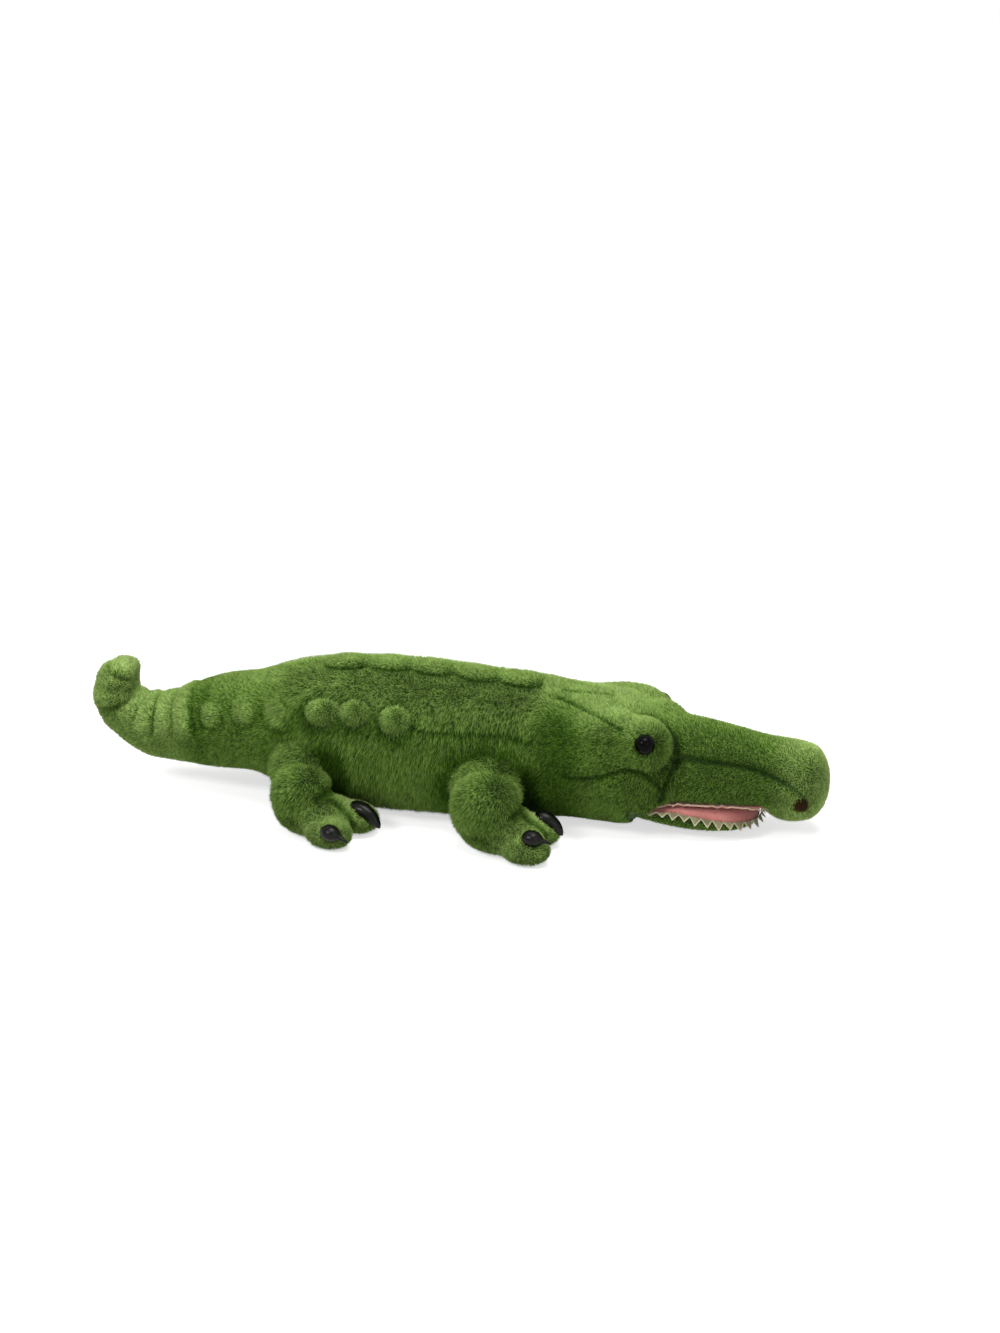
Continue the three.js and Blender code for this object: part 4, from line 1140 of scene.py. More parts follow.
    def bare(self) -> Shape:
        """The whole trunk's skin before its pile, with its seams still to press."""
        ends = (self.tail_tip, self.head_front, self.tip_front)
        tip, front, nose_front = (np.array([x, 0.0, z]) for x, z in ends)
        body = capped(self.rings([*self.tail_rows, *self.torso_rows], 6), tip, front, 56)
        rings = self.rings(self.snout_rows, 5)
        snout = loft(rings, rings[0].centre, rings[-1].centre, 48)
        snout.points[:, 2] = np.maximum(snout.points[:, 2], self.lip_height)
        rings = self.rings(self.tip_rows, 5)
        nose = capped(rings, rings[0].centre - [6, 0, 0], nose_front, 48)
        pads = [
            ellipsoid(np.array([x, side * y, z]), half)
            for (x, y, z), half, sides in self.pads
            for side in sides
        ]
        whole = carved(united([body, snout, nose, *pads], self.voxel), self.jaw_room())
        return relaxed(united([whole], self.voxel), 7)

    def jaw_room(self) -> Shape:
        """The room in the head for the lower jaw: a round seat for its rear end and all ahead of it."""
        x, z = HINGE
        r, top, half = self.jaw_seat_radius, self.lip_height - 1, self.jaw_room_half
        profile = [(x + 40.0, -30.0), (x + 40.0, top), (x + 2, top)]
        profile += [(x - r * math.sin(t), z + r * math.cos(t)) for t in np.linspace(0.1, math.pi, 14)]
        profile += [(x, -30.0)]
        return stitched([[(px, y, pz) for px, pz in profile] for y in (-half, half)])

    def ribs(self, shape: Shape) -> tuple[Array, Array, Array]:
        """How far the tail's ribs stand out, the creases between them, and the way to the tail's tip.

        Args:
            shape: The trunk's skin.

        Returns:
            The rise and the nearness to a crease, both from 0 to 1, and directions.
        """
        end = (*self.tail_tip, 12.0, 14.0, 95.0)
        rows = smooth_rows([end, *self.tail_rows, *self.torso_rows[:2]], 12)
        along = lengths_along(rows[:, :2])
        tree = nearest_tree([(row[0], 0.0, row[1]) for row in rows])
        centres = np.array([along[tree.find((x, 0.0, z))[1]] for x, z in self.rib_places])
        halves = np.abs(np.gradient(centres)) / 2
        rise, valley = np.zeros(len(shape.points)), np.zeros(len(shape.points))
        towards = np.tile([-1.0, 0.0, 0.0], (len(shape.points), 1))
        for i in np.nonzero(shape.points[:, 0] < -120)[0]:
            x, _, z = shape.points[i]
            _, index, _ = tree.find((x, 0.0, z))
            row = rows[index]
            before, after = rows[max(index - 1, 0)], rows[min(index + 1, len(rows) - 1)]
            towards[i] = unit(np.array([before[0] - after[0], 0.0, before[1] - after[1]]))
            if x < self.ribs_end:
                t = math.radians(row[4])
                lift = ((x - row[0]) * math.sin(t) + (z - row[1]) * math.cos(t)) / row[3]
                gap = abs(along[index] - centres).min() / np.interp(along[index], centres[::-1], halves[::-1])
                curl = step(35, 70, row[4])
                window = step(-0.2, 0.3, lift) * (1 - 0.6 * step(0.7, 1.0, lift)) * (1 - curl)
                window = max(window, 0.9 * curl * (1 - 0.7 * step(0.55, 0.9, abs(lift))))
                rise[i] = math.sqrt(max(0.0, 1 - min(gap, 1.0) ** 2)) * window
                valley[i] = math.exp(-(((gap - 1) / 0.26) ** 2)) * window
        outer = np.abs(shape.points[:, 1]) > 12
        for x, radius, z in self.lumps:
            gap = np.linalg.norm((shape.points - [x, 0, z]) * [1, 0, 1], axis=1) / radius
            lump = np.sqrt(np.maximum(0, 1 - gap**2)) * outer * self.lump_rise / self.rib_rise
            rise = np.maximum(rise, lump)
            ring = np.exp(-(((gap - 1.08) / 0.2) ** 2)) * (shape.points[:, 2] < z + 3) * outer
            valley = np.maximum(valley, 0.55 * ring)
        return rise, valley, towards

    def press(self, shape: Shape) -> Fields:
        """Presses the seams, ribs and dimples into the bare skin and works out its pile.

        Args:
            shape: The bare skin, which is changed.

        Returns:
            The pile's length, combing, tone and cover at each point.
        """
        normals = shape.normals()
        x, y, z = shape.points.T.copy()
        aside = np.abs(y)
        folded = np.stack([x, aside, z], axis=1)
        rib, valley, towards = self.ribs(shape)
        depth, near = pressed(shape, self.creases)

        # Parts of the toy, each from 0 to 1
        body = step(*self.tail_root, x) * (1 - step(*self.neck, x))
        snout, nose = step(*self.snout_start, x), step(*self.nose_start, x)
        face, head = step(*self.neck, x) * (1 - snout), step(94, 122, x) * (1 - snout)
        top = step(*self.back_top, z) * body
        mound_gap = np.linalg.norm(folded - self.mound, axis=1) - self.mound_radius
        mound = (1 - step(-1, 5, mound_gap)) * step(self.mound[0] - 24, self.mound[0] - 6, x)
        strip = BackStrip()
        edge = aside - strip.half_at(x)
        under = (x > strip.start) & (x < strip.end) & (z > 95)
        seam = np.exp(-((edge / 2.4) ** 2)) * under
        puff = FlankPuffs().gap(x, y, z)

        # Combing
        lift = np.radians(54 - 28 * body + 6 * snout + 16 * top)
        away = np.stack([-0.12 * np.ones_like(x), np.sign(y), -0.7 * np.ones_like(x)], axis=1)
        direction = np.array([-0.06, 0.0, -1.0]) * (1 - top)[:, None] + away * top[:, None]
        lengthways = np.where(x[:, None] < -60, towards, np.array([-1.0, 0.0, -0.45]))
        direction = direction * body[:, None] + (1 - body)[:, None] * lengthways

        # Tone: paler on mounds and nose, painted light on the ribs and on top, painted shade in folds and
        # shaded places
        # Ribs and the tops of the back and head paler: painted light
        tone = 0.27 + 0.4 * rib + 0.06 * mound + nose + (0.42 + 0.3 * head) * step(88, 114, z)
        # Paler towards the tail's tip; darker between the ribs and in their valleys: painted shade
        tone += 0.6 * step(self.ribs_end, -240, x) - 0.22 * (x < self.ribs_end) * (1 - rib) - 0.6 * valley
        # Darker in the folds, low down near the floor and along the back band's seam: painted shade
        tone -= 0.8 * near + 0.1 * (1 - step(5, 40, z)) * (1 - nose) + 0.9 * seam
        # Darker at the neck below the top: painted shade; also a little darker in a band about x = -140
        tone -= 0.4 * bump(98, 30, x) * (1 - step(100, 114, z)) + 0.14 * bump(-140, 40, x)
        # Darker in a ring round each flank puff: painted shade
        tone -= 0.28 * bump(1.15, 0.35, puff)
        # Darker beside the legs where they meet the trunk: painted shade
        for sx, sz, r, h, dark in self.painted_leg_shade:
            gap = np.sqrt(((x - sx) / r) ** 2 + ((z - sz) / h) ** 2)
            tone -= dark * (1 - step(0.8, 1.35, gap)) * (aside > 20)

        # Length in millimetres: shorter in folds, beside the back's band and round the puffs
        pile = self.short_pile + self.body_pile * body + face - nose - self.back_pile * top
        pile *= 0.5 + 0.5 * step(4, 34, z)
        pile *= (1 - 0.7 * near) * (1 - 0.65 * (1 - step(2, 9, edge)) * under) * (1 - 0.45 * valley)
        pile = (pile - 0.8 * mound) * (0.45 + 0.55 * step(1.0, 1.7, puff))

        # Cover: none under other pieces, in the mouth and on the lines of the folds
        eye_gap = np.linalg.norm(folded - np.where(y[:, None] < 0, *self.eyes), axis=1)
        nostril = Nostril()
        nose_gap = np.linalg.norm(folded - nostril.place, axis=1)
        in_mouth = (x > HINGE[0] - self.jaw_seat_radius - 2) & (x < self.nose_start[0])
        in_mouth &= (z < self.lip_height + 1) & ((normals[:, 2] < -0.5) | (z < self.lip_height - 4))
        cover = (1.0 - ((edge < -2.5) & under)) * step(0.85, 1.0, puff)
        for sx, sy, sz, r, h in self.leg_seats:
            cover *= step(0.55, 0.8, ((x - sx) / r) ** 2 + ((aside - sy) / r) ** 2 + ((z - sz) / h) ** 2)
        cover *= step(nostril.radius - 1.0, nostril.radius + 0.6, nose_gap) * step(7.5, 9.5, eye_gap)
        cover *= (1 - in_mouth) * (0.35 + 0.65 * step(1.5, 7, z)) * (1 - step(0.8, 0.98, near))
        cover *= 1 + 0.7 * (1 - body)

        dimple = self.dimple_depth * (1 - step(5, 13, eye_gap))
        offset = self.rib_rise * rib - valley - depth - dimple - self.seam_depth * seam - settled(pile, lift)
        shape.pushed(normals * offset[:, None])
        return {"pile": pile * MM, "comb": combed(normals, direction, lift), "tone": tone, "cover": cover}

    def bend(self, made: Object) -> None:
        """Bakes a piece's transform into its mesh."""
        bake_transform(made)

    def build(self, loom: Loom, backing: Material, pile: Material) -> tuple[BVHTree, BVHTree]:
        """Both halves with their pile.

        Args:
            loom: Grows the pile.
            backing: The backing's finish.
            pile: The pile's finish.

        Returns:
            Trees of the bare and of the pressed skin, for what lies on them.
        """
        shape = self.bare()
        bare = shape.tree()
        whole = mesh_of(shape, self.press(shape))
        torso = ("torso_skin", "torso_stuffing", "belly_panel")
        head = ("head_skin", "head_stuffing", "snout_skin", "snout_tip")
        plans = (
            ("rear", -1, Body.TAIL, (-400, -215, -160, -110, 0), ("tail_skin", "tail_stuffing")),
            ("front", 1, Body.HEAD, (-60, 8, 50, 92, 128, 162, 192, 236, 400), head),
        )
        for name, side, body, cuts, nodes in plans:
            half = parted(whole, self.waist, side)
            for i, (low, high) in enumerate(zip(cuts, cuts[1:])):
                tufts = loom.grow(patch(half, low, high), f"{name}_pile_{i + 1}", pile, Slot.LONG_PILE)
                self.bend(tufts)
            skin = piece(closed(half), f"{name}_skin", backing, (*torso, *nodes))
            self.bend(skin)
        return bare, shape.tree()


def parted(mesh: Mesh, x: float, side: int) -> Mesh:
    """What of a mesh lies on one side of a place along X, still open there."""

    def cut(work: bmesh.types.BMesh) -> None:
        """Takes the other side away."""
        geometry = [*work.verts, *work.edges, *work.faces]
        place = ((x + CENTRING[0]) * MM, 0, 0)
        bmesh.ops.bisect_plane(work, geom=geometry, plane_co=place, plane_no=(side, 0, 0), clear_inner=True)

    return reworked(mesh, cut)


def patch(mesh: Mesh, low: float, high: float) -> Mesh:
    """The faces of a mesh whose middles lie between two places along X, as a mesh with the same fields."""
    start, end = ((x + CENTRING[0]) * MM for x in (low, high))

    def cut(work: bmesh.types.BMesh) -> None:
        """Takes the other faces away."""
        outside = [f for f in work.faces if not start <= f.calc_center_median().x < end]
        bmesh.ops.delete(work, geom=outside, context="FACES")

    return reworked(mesh, cut)


def closed(mesh: Mesh) -> Mesh:
    """A mesh with flat faces over its open edges."""

    def fill(work: bmesh.types.BMesh) -> None:
        """Closes the holes."""
        bmesh.ops.holes_fill(work, edges=[e for e in work.edges if e.is_boundary], sides=0)

    return reworked(mesh, fill)


# Legs


@dataclass
class Claw:
    """A glossy plastic claw: a fat round root that narrows to a hooked point, by rows of share and size."""

    length: float = 27.0
    root_half: tuple[float, float] = (7.4, 6.7)
    root_share: float = 0.34
    drop: float = 2.0
    hook: float = 3.0
    shortening: float = 0.12
    rows: Rows = (
        (0.0, 0.2), (0.04, 0.5), (0.1, 0.74), (0.2, 0.95), (0.32, 1.0), (0.44, 0.94), (0.54, 0.74),
        (0.62, 0.48), (0.69, 0.33), (0.78, 0.25), (0.89, 0.16), (0.97, 0.08),
    )

    def shape(self, forward: Array, across: Array, place: Array) -> Shape:
        """The claw on one toe.

        Args:
            forward: The foot's forward direction.
            across: The foot's sideways direction.
            place: The middle of the claw's root.

        Returns:
            Its surface.
        """

        def path(share: float) -> Array:
            """A place along the claw's middle line."""
            ahead = share - self.root_share
            fall = self.drop * ahead + self.hook * max(0.0, ahead) ** 2 * 2
            reach = self.length * ahead * (1 - self.shortening * max(0.0, ahead))
            return place + forward * reach - UP * fall

        rings = []
        for share, size in smooth_rows(self.rows, 4, places=1):
            tangent = unit(path(share + 0.01) - path(share - 0.01))
            upright = unit(np.cross(across, tangent))
            upright = upright if upright[2] > 0 else -upright
            half = size * self.root_half[0], size * self.root_half[1]
            rings.append(Ring(path(share), across * half[0], upright * half[1]))
        return loft(rings, path(-0.01), path(1), 22)


THICK_HOOK = (
    (0.0, 0.2), (0.04, 0.5), (0.1, 0.74), (0.2, 0.94), (0.32, 1.0), (0.45, 0.95), (0.58, 0.86), (0.7, 0.76),
    (0.8, 0.64), (0.89, 0.48), (0.95, 0.32), (0.985, 0.16),
)


@dataclass
class Leg:
    """A stuffed leg with a foot of two fat toes, for the right side of the toy."""

    name: str
    pivot: Point
    radius: float
    turn_out: float
    arm: Point
    arm_half: Point
    claws: tuple[Claw, Claw]
    claw_shifts: tuple[Point, Point]
    inner_back: float
    half_height: float = 27.0
    foot_half: Point = (38.0, 29.0, 17.0)
    foot_reach: float = 28.5
    foot_ahead: float = 20.0
    toe_radius: float = 17.0
    toe_half_height: float = 13.0
    toe_spacing: float = 38.0
    toe_ahead: float = 21.0
    toe_reach: float = 9.0
    claw_angle: float = math.pi / 5
    claw_rise: float = 1.5
    arm_lift: float = 42.0
    foot_lift: float = 64.0
    arm_pile: float = 6.6
    foot_pile: float = 3.8
    cover_depth: float = 1.0
    bend_start: Point = (-4.0, -12.0, 60.0)
    bend_end: Point = (8.0, 20.0, 30.0)
    voxel: float = 2.2

    def __post_init__(self) -> None:
        """Works out the foot's directions and middle, and its toes' middles."""
        self.forward = np.array([math.cos(self.turn_out), -math.sin(self.turn_out), 0.0])
        self.across = np.array([-self.forward[1], self.forward[0], 0.0])
        px, py, _ = self.pivot
        self.middle = np.array([px + self.foot_ahead, -py - self.foot_reach, self.foot_half[2] - 0.5])
        reaches = ((-0.5, self.toe_ahead), (0.5, self.toe_ahead - self.inner_back))
        toes = [self.across * side * self.toe_spacing + self.forward * ahead for side, ahead in reaches]
        self.toes = np.array([(*(self.middle + toe)[:2], self.toe_half_height - 0.5) for toe in toes])

    def bulbs(self) -> list[Array]:
        """The middles of the claws' roots, on the front of the toes."""
        ahead = self.toe_radius * math.cos(self.claw_angle)
        rise = self.toe_half_height * math.sin(self.claw_angle)
        reach = self.forward * ahead + UP * rise + UP * self.claw_rise
        return [toe + reach + np.array(shift) for toe, shift in zip(self.toes, self.claw_shifts)]

    def bare(self) -> Shape:
        """The leg's skin before its folds are pressed."""
        px, py, pz = self.pivot
        r, long = self.radius, self.toe_reach / 2
        arm = np.array(self.arm)
        shapes = [
            ellipsoid(np.array([px, -py, pz]), (r, r, self.half_height)),
            ellipsoid(arm, self.arm_half),
            ellipsoid((arm + self.middle) / 2, (r * 0.86, r * 0.9, 22.0)),
            ellipsoid(self.middle, self.foot_half, -self.turn_out),
        ]
        toe_half = (self.toe_radius + long, self.toe_radius, self.toe_half_height)
        shapes += [ellipsoid(toe + self.forward * long, toe_half, -self.turn_out) for toe in self.toes]
        return relaxed(united(shapes, self.voxel), 8)

    def folds(self) -> tuple[Crease, Crease]:
        """The crease between the toes and the fold at the wrist."""
        between = (self.toes[0] + self.toes[1]) / 2
        down = ((-6, 20), (4, 18), (11, 12), (14, 4), (14, -6))
        crease = [between + self.forward * a + UP * h for a, h in down]
        over = ((-8, 18), (0, 19.5), (10, 19.5), (19, 17), (27, 10))
        wrist = [self.middle + self.forward * 4 + self.across * a + UP * h for a, h in over]
        return Crease(tuple(crease), 3.2, 4.2, False), Crease(tuple(wrist), 2.6, 4.5, False)

    def skin(self, trunk: BVHTree) -> Skin:
        """The leg's skin with its pile's fields, bare inside the trunk.

        Args:
            trunk: The trunk's skin.

        Returns:
            The skin, drawn in by the pile's height.
        """
        shape = self.bare()
        normals, points = shape.normals(), shape.points
        x, _, z = points.T
        depth, near = pressed(shape, self.folds())
        foot = 1 - step(20, 42, z + 0.35 * np.maximum(0, self.middle[0] - x))
        lift = np.radians(self.arm_lift + (self.foot_lift - self.arm_lift) * foot)
        spread = unit(points - np.array([self.pivot[0], -self.pivot[1], 30.0]))
        direction = np.array([-0.4, -0.6, -0.7]) * (1 - foot)[:, None] + spread * foot[:, None] * [1, 1, 0.2]
        toe = np.exp(-((np.linalg.norm(points[:, None] - self.toes[None], axis=2).min(axis=1) / 22.0) ** 4))
        # Paler toes except low down; paler higher up the leg, painted light; darker in the folds, painted
        # shade
        tone = 0.36 + toe * step(2, 14, z) + 0.12 * step(30, 60, z) - 0.7 * near
        pile = (self.foot_pile + (self.arm_pile - self.foot_pile) * (1 - foot)) * (1 - 0.5 * near)
        cover = (0.35 + 0.65 * step(1.5, 6, z)) * (1 + 0.6 * foot)
        for bulb in self.bulbs():
            gap = np.linalg.norm(points - bulb, axis=1)
            cover *= step(7.0, 9.5, gap)
            tone += 0.4 * bump(11, 5, gap)
        for i, point in enumerate(points):
            place, normal, _, _ = trunk.find_nearest(point)
            if normal is not None and (Vector(point) - place).dot(normal) < -self.cover_depth:
                cover[i] = 0.0
        shape.pushed(normals * (-depth - settled(pile, lift))[:, None])
        comb = combed(normals, direction, lift)
        return Skin(shape, {"pile": pile * MM, "comb": comb, "tone": tone, "cover": cover})


LEGS = (
    Leg(
        "front_leg", (38, 54, 46), 31, math.pi / 20, (43.5, -82, 36), (29.5, 29, 30),
        (Claw(drop=0.0), Claw(26.0, (7.2, 6.8), drop=2.0, hook=13.0, rows=THICK_HOOK)),
        ((-2.0, -5.3, 3.6), (-1.5, -0.5, 2.6)), 5.0,
    ),
    Leg(
        "rear_leg", (-120, 49, 44), 26, math.pi / 8, (-113.5, -74, 31.5), (25, 26.5, 26.5),
        (Claw(drop=3.0), Claw(33.0, (7.6, 7.2), drop=0.0, hook=14.0, rows=THICK_HOOK)),
        ((-3.0, -11.0, -3.0), (-3.5, -2.0, 0.5)), 0.0,
    ),
)


# Mouth


@dataclass
class Jaw:
    """The lower jaw: a thin green tray, a padded velour lining and a strip of felt teeth."""

    length: float = 89.0
    width: float = 88.0
    rim_rear: float = 27.2
    rim_slope_start: float = 190.0
    rim_slope: float = 0.178
    bottom: float = 1.3
    heel_rise: float = 8.5
    heel_reach: float = 16.0
    taper: float = 0.12
    roundness: float = 5.0
    fullness: float = 0.94
    roof: float = 30.8
    crown_power: float = 4.5
    lining_depth: float = 3.0
    lining_voxel: float = 1.2
    flare: float = 4.2
    cut_width: float = 0.9
    pile: float = 3.0
    lift: float = 50.0
    tone: float = 0.2
    bare_rim: float = 0.8
    bare_heel: float = 12.0
    heel_depth: float = 0.35
    heel_share: float = 0.14
    lining_rings: int = 18
    lining_inset: float = 0.8
    lining_pitch: float = 2.2
    lining_middle: float = 0.45
    lining_core: float = 0.15
    felt_inset: float = 0.2
    felt: float = 0.9
    tooth_pitch: float = 9.2
    tooth_drop: float = 5.8
    tooth_band: float = 0.5
    tooth_parts: int = 6
    tooth_rows: int = 5
    seed: int = 4
    tray_shares: tuple[float, ...] = (
        -0.13, -0.1, -0.04, 0.02, 0.1, 0.25, 0.4, 0.55, 0.7, 0.8, 0.88, 0.94, 0.975, 0.993,
    )

    def rim_at(self, x: Array | float) -> Array:
        """The rim's height at places along X, lower towards the front."""
        return self.rim_rear - self.rim_slope * np.maximum(0.0, x - self.rim_slope_start)

    def bottom_at(self, x: float) -> float:
        """The underside's height at a place along X, higher at the heel."""
        return self.bottom + self.heel_rise * math.exp(-max(0.0, x - HINGE[0]) / self.heel_reach)

    def half_width(self, share: float) -> float:
        """Half the jaw's width at a share of its length."""
        along = max(0.0, share)
        return self.width / 2 * (1 - self.taper * along) * math.sqrt(max(0.0, 1 - along**self.roundness))

    def rim_line(self, offset: float, pitch: float) -> Array:
        """Places along the rim from the right rear corner round the front to the left one.

        Args:
            offset: How far outside the rim they lie.
            pitch: How far apart they lie.

        Returns:
            Rows of x and y.
        """
        turns = np.linspace(0, np.pi, 400)
        share = np.sin(turns)
        half = np.array([self.half_width(s) for s in share])
        raw = np.stack([HINGE[0] + share * self.length, -np.sign(np.cos(turns)) * half], axis=1)
        end = lengths_along(raw)[-1]
        line = evenly(raw, np.linspace(0, end, 2 * round(end / pitch) + 1))
        tangent = np.gradient(line, axis=0)
        return line + unit(np.stack([tangent[:, 1], -tangent[:, 0]], axis=1)) * offset

    def tray(self) -> Shape:
        """The green underside, from the hinge to its round front."""
        rings = []
        for share in self.tray_shares:
            x = HINGE[0] + share * self.length
            rim = float(self.rim_at(x))
            depth = (rim - self.bottom_at(x)) * math.sqrt(1 - max(0.0, share) ** self.roundness)
            if share < 0:
                curve = math.sqrt(max(0.0, 1 - (share / self.heel_share) ** 2))
                depth *= self.heel_depth + (1 - self.heel_depth) * curve
            rings.append(Ring(np.array([x, 0, rim]), LEFT * self.half_width(share), UP * depth))
        tip = HINGE[0] + self.length
        shape = loft(rings, rings[0].centre - [1.0, 0, 0], np.array([tip, 0, float(self.rim_at(tip))]), 56)
        shape.points[:, 2] = np.clip(shape.points[:, 2], self.bottom, self.rim_at(shape.points[:, 0]))
        return relaxed(united([shape], 2.0), 2)

    def skin(self) -> Skin:
        """The tray's skin, with pile on its outside only."""
        shape = self.tray()
        normals, count = shape.normals(), len(shape.points)
        lift, pile = np.full(count, math.radians(self.lift)), np.full(count, self.pile)
        outside = (shape.points[:, 2] < self.rim_at(shape.points[:, 0]) - self.bare_rim) * 1.0
        shape.pushed(-normals * (settled(pile, lift) * outside)[:, None])
        fields = {
            "pile": pile * MM,
            "comb": combed(normals, np.tile([-1.0, 0.0, -0.3], (count, 1)), lift),
            "tone": np.full(count, self.tone),
            "cover": outside * (shape.points[:, 0] > HINGE[0] - self.bare_heel),
        }
        return Skin(shape, fields)

    def pillow(self) -> Shape:
        """The padded lining, crowned in the middle and tucked in at the rim."""
        outer = self.rim_line(-self.lining_inset, self.lining_pitch)
        middle = HINGE[0] + self.lining_middle * self.length
        tops, lows = [], []
        for t in np.linspace(1, 0.04, self.lining_rings):
            reach = self.lining_core + (1 - self.lining_core) * t
            x, y = middle + (outer[:, 0] - middle) * reach, outer[:, 1] * t
            rim = self.rim_at(x)
            crown = rim + 0.2 + (self.roof - rim) * self.fullness * math.sqrt(1 - t**self.crown_power)
            tops.append(np.column_stack([x, y, np.minimum(crown, self.roof)]))
            lows.append(np.column_stack([x, y, rim - self.lining_depth]))
        return relaxed(united([stitched([*reversed(lows), *tops])], self.lining_voxel), 6)

    def teeth(self) -> tuple[Shape, Array]:
        """The strip of zigzag felt that hangs outside the rim, uneven from tooth to tooth.

        Returns:
            Its surface, and how near each point is to the strip's cut edge.
        """
        pitch = self.tooth_pitch / self.tooth_parts
        offsets = (self.felt_inset, self.felt_inset + self.felt, self.flare)
        inner, outer, flared = (self.rim_line(offset, pitch) for offset in offsets)
        generator = np.random.default_rng(self.seed)
        sizes, leans = generator.uniform(0.8, 1.15, 80), generator.uniform(0.35, 0.65, 80)
        tops, lows, edge = [], [], []
        for i, place in enumerate(inner):
            number, share = divmod(i / self.tooth_parts / 2, 1.0)
            size, peak = sizes[int(number)], leans[int(number)]
            cut = share / peak if share < peak else (1 - share) / (1 - peak)
            size *= 0.4 + 0.6 * min(1.0, min(i, len(inner) - 1 - i) / (self.tooth_parts * 8))
            rim = float(self.rim_at(place[0]))
            drop = self.tooth_band + self.tooth_drop * size * cut
            for down in np.linspace(0, 1, self.tooth_rows):
                out = place + (flared[i] - place) * (down * cut * size) ** 1.3
                height = rim + 0.3 - drop * down
                lows.append((*out, height))
                tops.append((*(out + (outer[i] - place) * (1 - 0.4 * down)), height))
                edge.append(math.exp(-(((1 - down) * drop / self.cut_width) ** 2)))
        return slab(tops, lows, self.tooth_rows), np.array(edge + edge)


@dataclass
class Lip:
    """The pale rolled trim along the upper lip, and the lining behind it."""

    line: Rows = (
        (177.0, 43.0, 31.2), (183.0, 40.2, 32.0), (190.0, 38.4, 32.6), (204.0, 37.2, 32.8),
        (218.0, 35.8, 32.6), (232.0, 34.4, 32.6), (248.0, 32.2, 31.8), (260.0, 29.6, 30.4),
        (266.0, 22.0, 29.2), (269.0, 10.0, 28.8), (269.5, 0.0, 28.8),
    )
    half_height: float = 0.9
    half_width: float = 0.7
    spacing: float = 1.1
    wave: float = 0.8
    wave_pitch: float = 8.0
    wave_fade: float = 11.0
    side_wave: float = 0.5
    side_pitch: float = 0.7
    palate_inset: float = 1.0
    palate_low: float = 31.2
    palate_high: float = 32.6

    def right(self, steps: int) -> Array:
        """The trim's line on the right side, from the corner of the mouth to the front."""
        return smooth_rows([(x, -y, z) for x, y, z in self.line], steps, places=3)

    def palate(self) -> Shape:
        """The lining behind the trim: a thin flat pad of the mouth's outline."""
        side = [(x, y + self.palate_inset) for x, y, _ in self.right(6) if y < -self.palate_inset]
        outline = side + [(x, -y) for x, y in reversed(side)]
        return stitched([[(x, y, z) for x, y in outline] for z in (self.palate_low, self.palate_high)])

    def trim(self) -> Shape:
        """The trim from the right corner of the mouth round the front to the left one."""
        right = self.right(10)
        line = np.vstack([right, (right * OTHER_SIDE)[::-1][1:]])
        at = np.arange(0, lengths_along(line)[-1], self.spacing)
        line = evenly(line, at)
        turns = 2 * np.pi * at / self.wave_pitch
        line[:, 2] += self.wave * np.sin(turns) * np.sin(at / self.wave_fade)
        tangent = unit(np.gradient(line, axis=0))
        out = unit(np.stack([tangent[:, 1], -tangent[:, 0], np.zeros(len(line))], axis=1))
        line += out * (self.side_wave * np.sin(turns * self.side_pitch))[:, None]
        rings = [
            Ring(p, o * self.half_width, UP * self.half_height * (0.75 + 0.25 * math.sin(a * 1.9)))
            for p, o, a in zip(line, out, at)
        ]
        return loft(rings, line[0] - tangent[0], line[-1] + tangent[-1], 10)


@dataclass
class Eye:
    """A glossy plastic safety eye in a dimple of its mound."""

    right: Point = (168.6, -54.6, 90.6)
    left: Point = (164.5, 54.0, 85.0)
    radius: float = 8.3

    def shape(self, side: int) -> Shape:
        """The eye's ball on one side of the head."""
        middle = np.array(self.right if side < 0 else self.left)
        return ellipsoid(middle, (self.radius, self.radius, self.radius), sides=36)


# Stage


